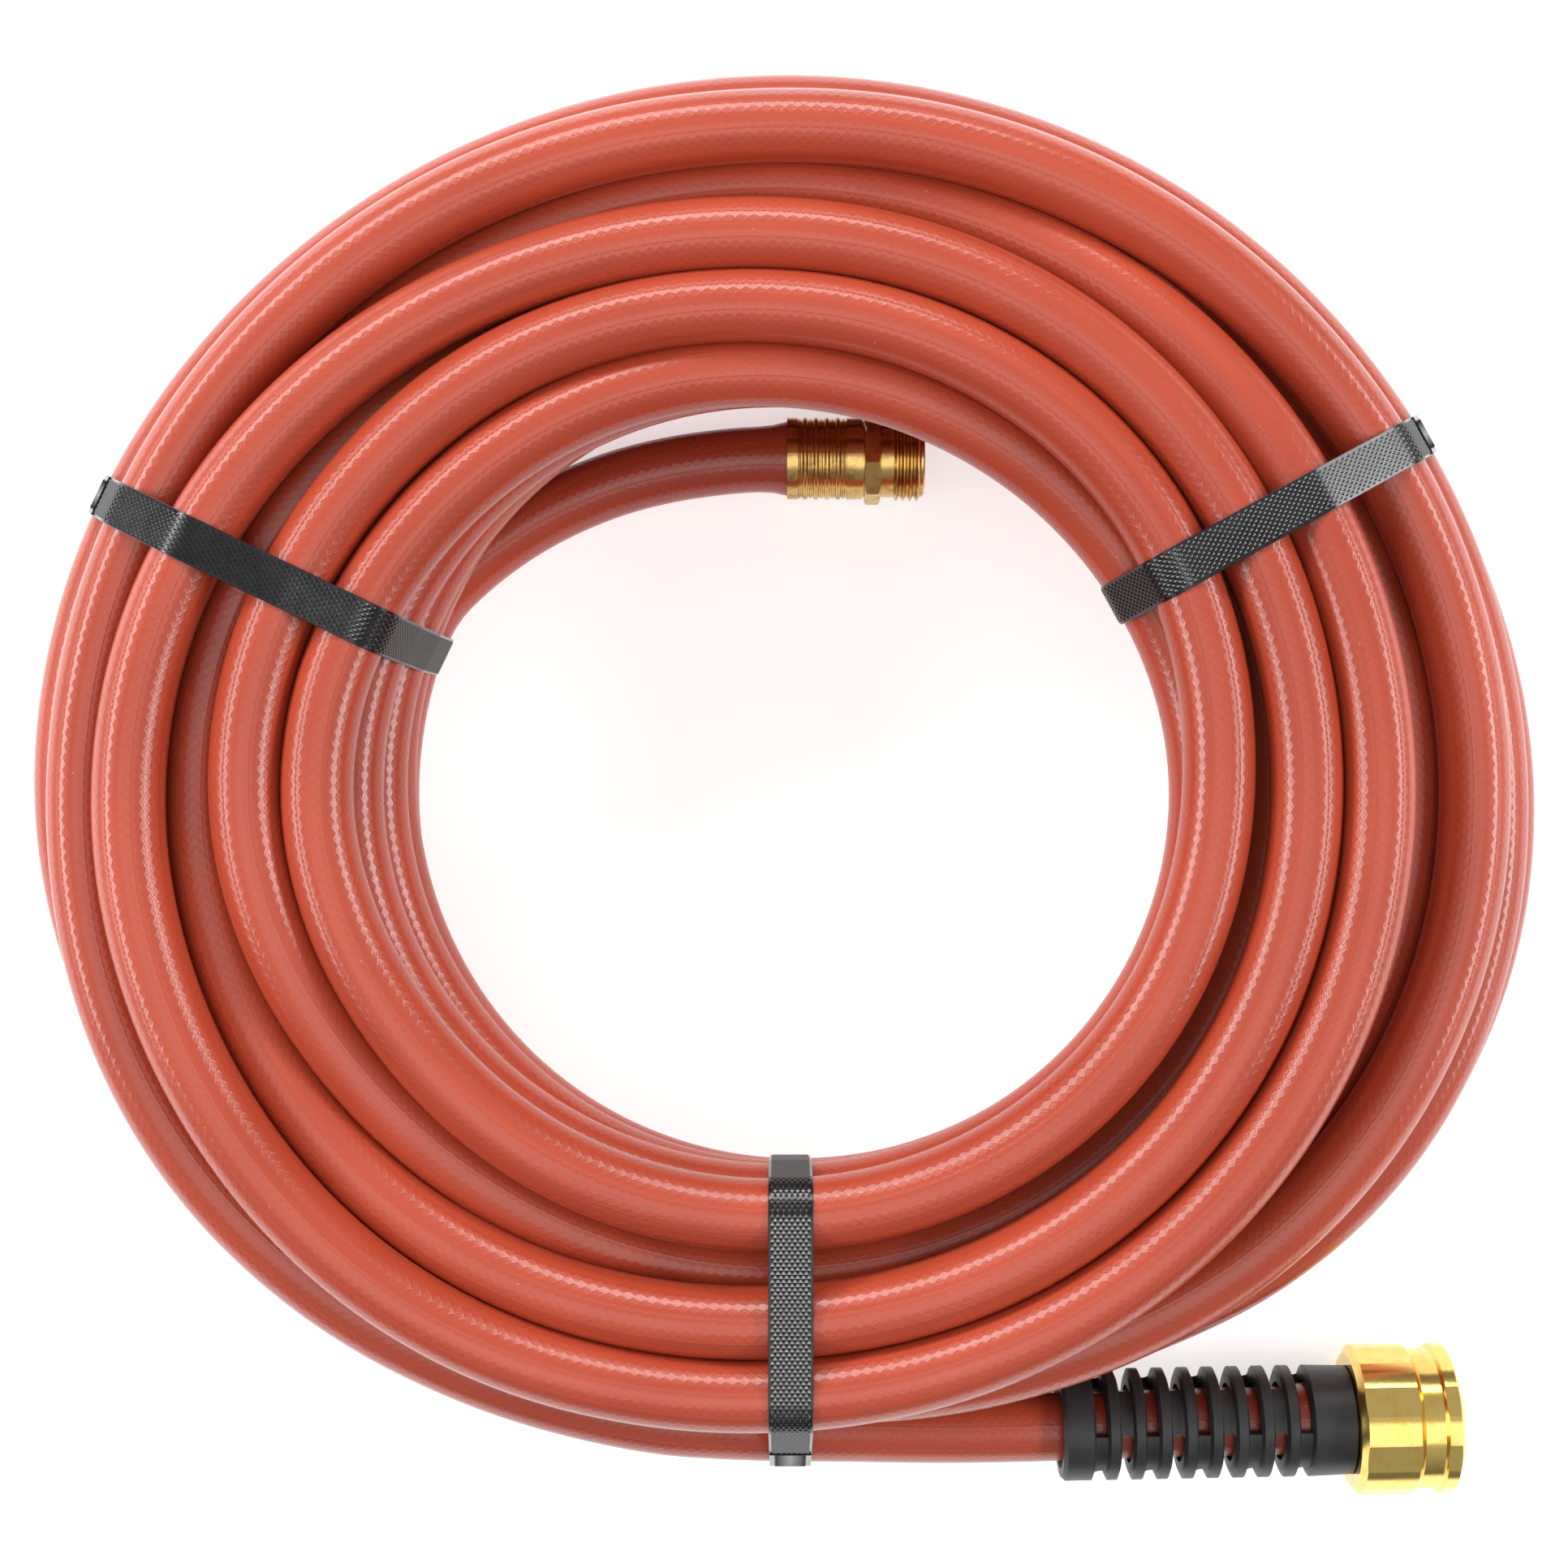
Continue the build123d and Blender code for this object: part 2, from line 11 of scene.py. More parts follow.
import bmesh
import bpy
import numpy as np
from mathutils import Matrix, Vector


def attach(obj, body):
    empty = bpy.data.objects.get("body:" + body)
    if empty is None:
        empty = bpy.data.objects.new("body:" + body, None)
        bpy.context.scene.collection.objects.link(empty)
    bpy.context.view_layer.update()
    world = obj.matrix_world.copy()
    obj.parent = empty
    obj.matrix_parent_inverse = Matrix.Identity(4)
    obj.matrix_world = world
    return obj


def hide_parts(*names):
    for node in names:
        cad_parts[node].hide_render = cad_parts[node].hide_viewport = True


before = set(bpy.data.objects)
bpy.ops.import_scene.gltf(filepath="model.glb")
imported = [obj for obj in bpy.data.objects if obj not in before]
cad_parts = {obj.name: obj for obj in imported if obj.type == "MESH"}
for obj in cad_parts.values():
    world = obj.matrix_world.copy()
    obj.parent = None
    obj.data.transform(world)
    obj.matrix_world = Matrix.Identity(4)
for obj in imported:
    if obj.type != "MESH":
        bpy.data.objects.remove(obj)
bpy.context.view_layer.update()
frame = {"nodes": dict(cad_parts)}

log = logging.getLogger("hose")

MM = 0.001
HOSE_DIAMETER = 0.021
HOSE_RADIUS = HOSE_DIAMETER / 2
EYE_CENTRE = (-0.0048, 0.0020)  # the middle of the hole that the turns go round
COIL_CENTRE = (0.0, 0.0040)
COIL_HALF = (0.2360, 0.2155)  # half the coil's outside, along X and Y
STRAPPED_FLOOR = 0.0114  # height of the lowest centre line where a strap passes under it
TOP_AXIS_HEIGHT = 0.0935  # height of the top row's centre line

# the uncoiled stretches, as part.py has them: from the coil to the swivel coupling, and from the
# coil to the male end
LEAD_ROUTE = [
    (-0.048, -0.1893, 0.0505),
    (-0.016, -0.1930, 0.0449),
    (0.016, -0.1953, 0.0376),
    (0.048, -0.1980, 0.0300),
    (0.077, -0.1989, 0.0246),
    (0.104, -0.1984, 0.0232),
    (0.130, -0.1976, 0.0231),
]
GUARD_START = Vector((0.0834, -0.1986, 0.0232))
FEMALE_YAW = math.radians(1.1)  # how far the swivel coupling is turned from +X
FEMALE_AXIS = Vector((math.cos(FEMALE_YAW), math.sin(FEMALE_YAW), 0))
TAIL_ROUTE = [
    (-0.1199, 0.0597, 0.0114),
    (-0.1029, 0.0767, 0.0112),
    (-0.0831, 0.0903, 0.0111),
    (-0.0612, 0.1001, 0.0114),
    (-0.0418, 0.1051, 0.0127),
    (-0.0236, 0.1076, 0.0140),
]
MALE_START = Vector((-0.0025, 0.1085, 0.0145))
MALE_AXIS = Vector((1, 0, 0))
SWELL_RADIUS = 0.0120  # where the hose is stretched over a barbed tail
SWELL_RUN = 0.0065
FEMALE_SWELL = 0.0725  # distance along the guard at which the swelling starts
FEMALE_END = 0.0955
# each strap's CAD node, the azimuth of its plane and a point that the plane passes through
STRAPS = [
    ("strap_left", 154.4, (-0.1489, 0.0623)),
    ("strap_right", 28.7, (0.1346, 0.0796)),
    ("strap_front", 270.0, (-0.0016, -0.1600)),
]


def put(name: str, data: bpy.types.ID) -> bpy.types.Object:
    """Makes an object and puts it in the scene.

    Args:
        name: The object's name.
        data: Its mesh, curve, light or camera.

    Returns:
        The object.
    """
    piece = bpy.data.objects.new(name, data)
    bpy.context.scene.collection.objects.link(piece)
    return piece


def run_along(line: np.ndarray) -> np.ndarray:
    """The distance along a line at each of its points."""
    return np.concatenate([[0], np.cumsum(np.linalg.norm(np.diff(line, axis=0), axis=1))])


class Row(Enum):
    """Whether a turn can be seen at a station, and so keeps its place while the hidden turns settle."""

    SEEN = 1.0
    HIDDEN = 0.3


SEEN, HIDDEN = Row.SEEN, Row.HIDDEN

# one line for each turn, from the male end's side upwards: (radius from the eye's centre, height, row)
# in millimetres where the turn passes the left, the front, the right and the back of the coil
TURNS = [
    [(126.5, 11.4, SEEN), (129, 11.4, SEEN), (136.5, 10.5, SEEN), (138, 10.5, SEEN)],
    [(124, 31.5, SEEN), (125.8, 31.5, SEEN), (133, 31.5, SEEN), (135, 33, SEEN)],
    [(124.5, 52, SEEN), (122.5, 52, SEEN), (129.8, 52, SEEN), (127, 55, SEEN)],
    [(127.7, 73, SEEN), (120.5, 72.5, SEEN), (126.3, 73, SEEN), (124.5, 84, SEEN)],
    [(134.7, 93.5, SEEN), (121.0, 93.5, SEEN), (125.3, 93.5, SEEN), (138.3, 93.5, SEEN)],
    [(154.5, 93.5, SEEN), (141, 73, SEEN), (147, 73, SEEN), (149, 73, HIDDEN)],
    [(170.7, 76, SEEN), (151.7, 93.5, SEEN), (151.3, 93.5, SEEN), (159.3, 93.5, SEEN)],
    [(187.7, 93.5, SEEN), (171.7, 93.5, SEEN), (172.3, 93.5, SEEN), (179, 76, SEEN)],
    [(188, 66, HIDDEN), (162, 73, HIDDEN), (168, 73, HIDDEN), (169, 56, HIDDEN)],
    [(149, 73, HIDDEN), (143, 52, HIDDEN), (151, 52, HIDDEN), (148, 52, HIDDEN)],
    [(146, 52, HIDDEN), (146, 31.5, HIDDEN), (154, 31.5, HIDDEN), (155, 32, HIDDEN)],
    [(146, 31.5, HIDDEN), (150, 10.5, HIDDEN), (157.5, 10.5, HIDDEN), (159, 10.5, HIDDEN)],
    [(148, 10.5, HIDDEN), (170.5, 10.5, HIDDEN), (197, 15, SEEN), (183, 10.5, HIDDEN)],
    [(170, 36, HIDDEN), (163.5, 52, HIDDEN), (191, 56, SEEN), (187, 56, HIDDEN)],
    [(209, 11, HIDDEN), (191.5, 11, HIDDEN), (226.5, 28, SEEN), (206, 32, HIDDEN)],
    [(213, 32, SEEN), (176.5, 32, HIDDEN), (217.3, 49, SEEN), (205, 53, HIDDEN)],
    [(215.5, 54, SEEN), (179.5, 61, HIDDEN), (206, 71, SEEN), (192, 92, SEEN)],
    [(204.5, 75, SEEN), (196.7, 46, HIDDEN)],
]
# places between the quarter turns, where a turn is seen to leave the even line:
# (turn, azimuth, radius, height)
BETWEEN = [
    (0, 330, 135.5, 10.8),
    (0, 475, 135.5, 19),
    (0, 495, 131.5, 27.6),
    (0, 510, 127, 31.6),
    (1, 210, 122.6, 31.5),
    (1, 330, 132, 31.5),
    (1, 495, 129.5, 48.6),
    (2, 215, 121.8, 52),
    (2, 330, 128.5, 52),
    (2, 495, 127.3, 69.6),
    (3, 330, 125, 73),
    (3, 405, 122.2, 76.5),
    (3, 425, 121.5, 80),
    (3, 495, 127.3, 90.4),
    (4, 225, 125.5, 93.5),
    (4, 405, 135, 93.5),
    (4, 495, 148.3, 93.5),
    (5, 225, 143.3, 82.7),
    (6, 225, 164.4, 84.2),
    (7, 225, 183.6, 93.5),
    (12, 315, 185, 12),
    (12, 335, 195, 14),
    (13, 315, 182, 51),
    (13, 335, 190, 53),
    (13, 380, 191, 57),
    (14, 285, 190, 11),
    (14, 300, 199, 13),
    (14, 315, 221, 20),
    (14, 330, 227.5, 24),
    (14, 345, 229.5, 27),
    (14, 405, 213, 31),
    (15, 195, 212.5, 31.5),
    (15, 210, 208.5, 30.5),
    (15, 225, 203, 29.5),
    (15, 285, 180, 33),
    (15, 300, 193, 37),
    (15, 315, 213, 43),
    (15, 330, 218, 46),
    (15, 345, 219.5, 48),
    (15, 405, 211.5, 51),
    (16, 195, 216.5, 53.5),
    (16, 210, 203, 50.5),
    (16, 225, 188, 49.5),
    (16, 240, 177, 52.5),
    (16, 255, 175.5, 56),
    (16, 285, 182, 62),
    (16, 300, 188, 65),
    (16, 315, 198, 68),
    (16, 345, 206.5, 71),
    (17, 195, 208, 73.5),
    (17, 210, 206.5, 70.5),
    (17, 225, 201, 66),
    (17, 240, 196.5, 59),
]


@dataclass
class Winding:
    """The coil's turns, laid turn by turn and then settled against each other for a set number of rounds,
    after which the deepest cut left is logged.
    """

    steps_per_turn: int = 24
    first_azimuth: float = 168.0
    lead_azimuth: float = 252.0
    lead_points: int = 3
    rounds: int = 6000
    hold: float = 0.15  # how firmly a turn that can be seen keeps its place
    gap: float = 0.15 * MM
    shoulder: float = 0.0275  # radius of the outer shoulder that the centre lines stay under
    eye_radius: float = 0.1195
    guard_side: float = 0.1728  # how far to the front a centre line may lie beside the kink guard
    guard_azimuth: float = 303.0
    guard_spread: float = 14.0  # degrees to each side of guard_azimuth that lie beside the kink guard
    male_clear: float = 0.0257  # the male end's radius, the hose's and a little play
    male_span: tuple[float, float] = (-0.03, 0.062)  # the stretch of X that the male end lies in
    lift_start: float = 0.90  # cosine of the angle from a strap at which the floor starts to rise
    lift_run: float = 0.05  # how much more of the cosine the rise takes

    def stations(self) -> np.ndarray:
        """The stated places of every turn.

        Returns:
            Rows of azimuth in degrees, radius and height in metres, and how firmly the place is held.
        """
        places = [
            (180 + 360 * turn + 90 * quarter, radius * MM, height * MM, row.value)
            for turn, quarters in enumerate(TURNS)
            for quarter, (radius, height, row) in enumerate(quarters)
        ]
        places += [
            (azimuth + 360 * turn, radius * MM, height * MM, SEEN.value)
            for turn, azimuth, radius, height in BETWEEN
        ]
        return np.array(sorted(places))

    def first_lay(self) -> tuple[np.ndarray, np.ndarray, np.ndarray]:
        """Runs a smooth line through the stations.

        Returns:
            Azimuths in degrees, the (radius, height) at each, and how firmly each point is held.
        """
        places = self.stations()
        step = 360 / self.steps_per_turn
        last = self.lead_azimuth + 360 * (len(TURNS) - 1)
        azimuths = np.arange(self.first_azimuth, last + 0.1, step)
        low = np.clip(np.searchsorted(places[:, 0], azimuths, "right") - 1, 0, len(places) - 2)
        part = np.clip((azimuths - places[low, 0]) / (places[low + 1, 0] - places[low, 0]), 0, 1)
        ease = part * part * (3 - 2 * part)
        mixed = places[low] + (places[low + 1] - places[low]) * ease[:, None]
        firm = places[low, 3] * (1 - part) + places[low + 1, 3] * part
        # the lead's own first points hold their place while the turns settle against them
        lead = np.array([self.polar(point) for point in LEAD_ROUTE[: self.lead_points + 1]])
        lead_azimuths = azimuths[-1] + step * np.arange(1, self.lead_points + 1)
        lead_lay = np.stack([np.interp(lead_azimuths % 360, lead[:, 0], lead[:, axis]) for axis in (1, 2)], 1)
        lay = np.vstack([mixed[:, 1:3], lead_lay])
        held = self.hold * np.append(firm, np.zeros(self.lead_points)) ** 2
        return np.append(azimuths, lead_azimuths), lay, held

    @staticmethod
    def polar(point: tuple[float, float, float]) -> tuple[float, float, float]:
        """A point's azimuth in degrees, radius from the eye's centre, and height."""
        across, along = point[0] - EYE_CENTRE[0], point[1] - EYE_CENTRE[1]
        return math.degrees(math.atan2(along, across)) % 360, math.hypot(across, along), point[2]

    @staticmethod
    def outer_limit(azimuths: np.ndarray) -> np.ndarray:
        """Finds the coil's outline.

        Args:
            azimuths: Directions from the eye's centre, in degrees.

        Returns:
            How far out from the eye's centre a centre line may lie at each azimuth.
        """
        angle = np.radians(azimuths)
        half = np.array(COIL_HALF) - HOSE_RADIUS
        start = (np.array(EYE_CENTRE) - np.array(COIL_CENTRE)) / half
        way = np.stack([np.cos(angle), np.sin(angle)], 1) / half
        square = (way**2).sum(1)
        slope = (way * start).sum(1)
        return (-slope + np.sqrt(slope**2 - square * ((start**2).sum() - 1))) / square

    def part_turns(self, lay: np.ndarray) -> np.ndarray:
        """Finds how the turns push each other.

        Args:
            lay: The (radius, height) of every point.

        Returns:
            How far each point is pushed by the turns that it cuts into.
        """
        push = np.zeros_like(lay)
        room = HOSE_DIAMETER + self.gap
        for apart in range(self.steps_per_turn, len(lay), self.steps_per_turn):
            between = lay[apart:] - lay[:-apart]
            distance = np.hypot(between[:, 0], between[:, 1]) + 1e-9
            share = (np.maximum(room - distance, 0) / distance / 4)[:, None] * between
            push[apart:] += share
            push[:-apart] -= share
        return push

    def keep_inside(
        self, lay: np.ndarray, azimuths: np.ndarray, outer: np.ndarray, floor: np.ndarray
    ) -> None:
        """Keeps every point on the floor or above it, inside the coil's outline and clear of the male end.

        Args:
            lay: The (radius, height) of every point, which this changes.
            azimuths: Each point's azimuth in degrees.
            outer: The largest radius at each point.
            floor: The lowest height at each point.
        """
        lay[:, 1] = np.clip(lay[:, 1], floor, TOP_AXIS_HEIGHT)
        lay[:, 0] = np.clip(lay[:, 0], self.eye_radius, outer)
        over = lay - np.stack([outer - self.shoulder, np.full(len(lay), TOP_AXIS_HEIGHT - self.shoulder)], 1)
        reach = np.hypot(over[:, 0], over[:, 1])
        out = (over.min(1) > 0) & (reach > self.shoulder)
        lay[out] += over[out] * (self.shoulder / reach[out] - 1)[:, None]
        angle = np.radians(azimuths)
        across = EYE_CENTRE[0] + lay[:, 0] * np.cos(angle)
        along = EYE_CENTRE[1] + lay[:, 0] * np.sin(angle) - MALE_START.y
        rise = lay[:, 1] - MALE_START.z
        level = (across > self.male_span[0]) & (across < self.male_span[1])
        near = level & (along > -0.1) & (np.hypot(along, rise) < self.male_clear)
        need = np.sqrt(np.maximum(self.male_clear**2 - rise**2, 0)) - along
        lay[near, 0] += need[near] / np.maximum(np.sin(angle[near]), 0.3) / 2

    def settle(self) -> list[Vector]:
        """Lets the turns push each other apart, smoothly, until they lie side by side.

        Returns:
            One point for each step of the coil, from the male end's side to the lead.
        """
        azimuths, lay, held = self.first_lay()
        wanted = lay.copy()
        fixed = lay[-4:].copy()
        start = np.array([lay[0, 0], STRAPPED_FLOOR])
        outer = self.outer_limit(azimuths)
        beside = np.abs(azimuths % 360 - self.guard_azimuth) < self.guard_spread
        outer[beside] = np.minimum(outer[beside], self.guard_side / -np.sin(np.radians(azimuths[beside])))
        outer[-4:] += 0.05  # the lead leaves the coil
        strapped = np.max([np.cos(np.radians(azimuths - azimuth)) for _, azimuth, _ in STRAPS], axis=0)
        lift = np.clip((strapped - self.lift_start) / self.lift_run, 0, 1)
        floor = HOSE_RADIUS + (STRAPPED_FLOOR - HOSE_RADIUS) * lift
        for count in range(self.rounds):
            ease = 1 - count / self.rounds
            lay += self.part_turns(lay)
            bend = np.zeros_like(lay)
            bend[1:-1] += 0.1 * ease * ((lay[:-2] + lay[2:]) / 2 - lay[1:-1])
            bend[2:-2] -= (lay[:-4] - 4 * lay[1:-3] + 6 * lay[2:-2] - 4 * lay[3:-1] + lay[4:]) / 16
            lay += bend
            lay[:, 1] -= 0.02 * MM * ease
            lay += (wanted - lay) * held[:, None]
            self.keep_inside(lay, azimuths, outer, floor)
            lay[0], lay[-4:] = start, fixed
        self.report(azimuths, lay)
        # a quadratic spline runs a little inside its control points
        proud = 1 / (0.75 + 0.25 * math.cos(math.radians(360 / self.steps_per_turn)))
        points = []
        for azimuth, (radius, height) in zip(azimuths[: -self.lead_points], lay[: -self.lead_points]):
            angle = math.radians(azimuth)
            points.append(Vector((
                EYE_CENTRE[0] + radius * proud * math.cos(angle),
                EYE_CENTRE[1] + radius * proud * math.sin(angle),
                height,
            )))
        return points

    def report(self, azimuths: np.ndarray, lay: np.ndarray) -> None:
        """Logs the deepest cut that is left between two turns.

        Args:
            azimuths: Each point's azimuth in degrees.
            lay: The (radius, height) of every point.
        """
        deepest, place = 0.0, 0.0
        for apart in range(self.steps_per_turn, len(lay), self.steps_per_turn):
            distance = np.linalg.norm(lay[apart:] - lay[:-apart], axis=1)
            cut = HOSE_DIAMETER - distance
            if cut.max() > deepest:
                deepest, place = cut.max(), azimuths[cut.argmax()] % 360
        log.info("deepest cut between turns %.2f mm at azimuth %.0f", deepest / MM, place)


Given = bpy.types.NodeSocket | float | tuple[float, ...]  # what a node's input can be given


class Sheet:
    """A node tree, with short ways to add and join nodes."""

    def __init__(self, tree: bpy.types.NodeTree) -> None:
        """Takes up a tree.

        Args:
            tree: The tree that the nodes go into.
        """
        self.tree = tree

    def add(self, kind: str, inputs: dict | None = None, **settings: str) -> bpy.types.Node:
        """Adds a node.

        Args:
            kind: The node's type, where a ShaderNode prefix is left out.
            inputs: Values or sockets for its inputs, by name or number.
            settings: The node's own properties.

        Returns:
            The new node.
        """
        whole = kind.startswith(("GeometryNode", "FunctionNode", "NodeGroup"))
        node = self.tree.nodes.new(kind if whole else "ShaderNode" + kind)
        for key, value in settings.items():
            setattr(node, key, value)
        for key, value in (inputs or {}).items():
            self.join(value, node.inputs[key])
        return node

    def join(self, value: Given, socket: bpy.types.NodeSocket) -> None:
        """Links a socket to another, or sets it to a plain value.

        Args:
            value: The socket or the plain value.
            socket: The input that gets it.
        """
        if isinstance(value, bpy.types.NodeSocket):
            self.tree.links.new(value, socket)
        else:
            socket.default_value = value

    def maths(self, operation: str, *values: Given) -> bpy.types.NodeSocket:
        """The result of a Math node on up to three values."""
        node = self.add("Math", dict(enumerate(values)), operation=operation)
        return node.outputs[0]

    def noise(
        self, where: bpy.types.NodeSocket, scale: float, detail: float = 3.0, rough: float = 0.55
    ) -> bpy.types.NodeSocket:
        """Noise from 0 to 1 at a place."""
        inputs = {"Vector": where, "Scale": scale, "Detail": detail, "Roughness": rough}
        return self.add("TexNoise", inputs).outputs["Fac"]

    def vector(self, parts: dict[int, Given]) -> bpy.types.NodeSocket:
        """A vector from its parts, by number; a part that is left out is 0."""
        return self.add("CombineXYZ", parts).outputs[0]

    def remap(self, value: Given, low: float, high: float) -> bpy.types.NodeSocket:
        """A value from 0 to 1 stretched to run from low to high."""
        inputs = {"Value": value, "To Min": low, "To Max": high}
        return self.add("MapRange", inputs).outputs["Result"]

    def place(self) -> bpy.types.NodeSocket:
        """Object coordinates, in metres."""
        return self.add("TexCoord").outputs["Object"]

    def ramp(self, value: Given, *stops: tuple[float, tuple[float, float, float]]) -> bpy.types.NodeSocket:
        """Makes a colour that follows a value.

        Args:
            value: The value, from 0 to 1.
            stops: The (position, colour) stops that the colour goes through.

        Returns:
            The colour's socket.
        """
        node = self.add("ValToRGB", {"Fac": value})
        band = node.color_ramp
        while len(band.elements) < len(stops):
            band.elements.new(0.5)
        for element, (position, colour) in zip(band.elements, stops):
            element.position = position
            element.color = (*colour, 1)
        return node.outputs["Color"]


class Finish(Sheet):
    """A new material's sheet, with its shader."""

    def __init__(self, name: str) -> None:
        """Makes an empty material with its shader.

        Args:
            name: The material's name.
        """
        self.material = bpy.data.materials.new(name)
        self.material.use_nodes = True
        super().__init__(self.material.node_tree)
        self.shader = self.tree.nodes["Principled BSDF"]

    def relief(self, height: bpy.types.NodeSocket, depth: float, strength: float = 1.0) -> None:
        """Gives the shader a bump.

        Args:
            height: The socket that gives the height, from 0 to 1.
            depth: How deep the relief is, in metres.
            strength: How much of it shows.
        """
        inputs = {"Height": height, "Distance": depth, "Strength": strength}
        self.join(self.add("Bump", inputs).outputs["Normal"], self.shader.inputs["Normal"])

    def set(self, **values: Given) -> None:
        """Sets shader inputs that are the same all over; underscores in a name stand for spaces."""
        for key, value in values.items():
            self.join(value, self.shader.inputs[key.replace("_", " ").title().replace("Ior", "IOR")])


@dataclass(frozen=True)
class HoseCover:
    """Red rubber and vinyl cover, satin, with the braid faintly raised and fine lines from the die."""

    deep: tuple[float, float, float] = (0.32, 0.040, 0.017)
    light: tuple[float, float, float] = (0.43, 0.062, 0.029)
    braid_columns: int = 22
    braid_pitch: float = 0.0036
    braid_depth: float = 0.00004
    ridges: tuple[float, ...] = (0.205, 0.318, 0.64)  # lines that the die leaves, as shares of the way round
    ridge_width: float = 0.005
    dust: tuple[float, float, float, float] = (0.9, 0.6, 0.5, 1)

    def material(self) -> bpy.types.Material:
        """Builds the cover; its UV is the distance along in metres and the share of the way round.

        Returns:
            The material.
        """
        sheet = Finish("hose_cover")
        split = sheet.add("SeparateXYZ", {0: sheet.add("UVMap", uv_map="hose").outputs["UV"]})
        along, round_ = split.outputs["X"], split.outputs["Y"]
        turn = sheet.maths("MULTIPLY", round_, 2 * math.pi)
        # the same place on both sides of the seam gives the same pattern
        ring = sheet.add("CombineXYZ", {
            "X": sheet.maths("MULTIPLY", sheet.maths("COSINE", turn), HOSE_RADIUS),
            "Y": sheet.maths("MULTIPLY", sheet.maths("SINE", turn), HOSE_RADIUS),
            "Z": along,
        }).outputs[0]
        stretched = sheet.add("VectorMath", {0: ring, 1: (1, 1, 0.02)}, operation="MULTIPLY").outputs[0]
        lines = sheet.noise(stretched, 1600, 2.0)
        broad = sheet.noise(stretched, 420, 2.0)
        column = sheet.maths("MULTIPLY", turn, self.braid_columns)
        row = sheet.maths("MULTIPLY", along, 2 * math.pi / self.braid_pitch)
        left = sheet.maths("SINE", sheet.maths("ADD", column, row))
        right = sheet.maths("SINE", sheet.maths("SUBTRACT", column, row))
        braid = sheet.remap(sheet.maths("MAXIMUM", left, right), -0.2, 1.0)
        patchy = sheet.remap(sheet.noise(sheet.place(), 22), 0.25, 1.0)
        braid = sheet.maths("MULTIPLY", braid, patchy)
        cloud = sheet.noise(sheet.place(), 9, 4.0)
        tone = sheet.maths("ADD", sheet.maths("MULTIPLY", cloud, 0.6), sheet.maths("MULTIPLY", broad, 0.4))
        colour = sheet.ramp(tone, (0.32, self.deep), (0.66, self.light))
        speck = sheet.add("TexVoronoi", {"Vector": ring, "Scale": 260}).outputs["Distance"]
        scuff = sheet.noise(sheet.place(), 60, 5.0, 0.7)
        small = sheet.maths("LESS_THAN", speck, 0.045)
        dusty = sheet.maths("MULTIPLY", small, sheet.maths("GREATER_THAN", scuff, 0.58))
        share = sheet.maths("MULTIPLY", dusty, 0.5)
        mixed = sheet.add("Mix", {0: share, 6: colour, 7: self.dust}, data_type="RGBA")
        sheet.join(mixed.outputs[2], sheet.shader.inputs["Base Color"])
        rough = sheet.maths("ADD", sheet.remap(scuff, 0.20, 0.31), sheet.maths("MULTIPLY", lines, 0.06))
        sheet.join(rough, sheet.shader.inputs["Roughness"])
        height = sheet.maths("ADD", braid, sheet.maths("MULTIPLY", sheet.maths("ADD", lines, broad), 0.30))
        for ridge in self.ridges:
            off = sheet.maths("ABSOLUTE", sheet.maths("SUBTRACT", round_, ridge))
            fall = sheet.maths("DIVIDE", off, self.ridge_width)
            line = sheet.maths("MAXIMUM", sheet.maths("SUBTRACT", 1.0, fall), 0.0)
            height = sheet.maths("ADD", height, sheet.maths("MULTIPLY", line, 1.2))
        sheet.relief(height, self.braid_depth)
        sheet.set(specular_ior_level=0.62)
        return sheet.material


@dataclass(frozen=True)
class Strapping:
    """Black polypropylene strapping, shiny where its rolls pressed it."""

    colour: tuple[float, float, float] = (0.004, 0.004, 0.005)
    worn: tuple[float, float, float] = (0.012, 0.012, 0.013)

    def material(self) -> bpy.types.Material:
        """Builds the strapping from Object coordinates.

        Returns:
            The material.
        """
        sheet = Finish("strapping")
        wear = sheet.noise(sheet.place(), 90, 4.0, 0.65)
        sheet.join(sheet.ramp(wear, (0.4, self.colour), (0.75, self.worn)), sheet.shader.inputs["Base Color"])
        sheet.join(sheet.remap(wear, 0.12, 0.28), sheet.shader.inputs["Roughness"])
        sheet.relief(sheet.noise(sheet.place(), 1500, 2.0), 0.00002)
        sheet.set(specular_ior_level=0.5)
        return sheet.material


@dataclass(frozen=True)
class MouldedPlastic:
    """Moulded black plastic or rubber with a fine spark-eroded grain."""

    name: str
    colour: tuple[float, float, float]
    rough: float
    grain_depth: float = 0.00003

    def material(self) -> bpy.types.Material:
        """Builds the plastic from Object coordinates.

        Returns:
            The material.
        """
        sheet = Finish(self.name)
        place = sheet.place()
        grain = sheet.noise(place, 2600, 2.0)
        cloud = sheet.noise(place, 70, 4.0, 0.6)
        pale = tuple(min(1.0, part * 2.1) for part in self.colour)
        sheet.join(sheet.ramp(cloud, (0.35, self.colour), (0.8, pale)), sheet.shader.inputs["Base Color"])
        sheet.join(sheet.remap(cloud, self.rough - 0.06, self.rough + 0.08), sheet.shader.inputs["Roughness"])
        sheet.relief(grain, self.grain_depth)
        sheet.set(specular_ior_level=0.5)
        return sheet.material


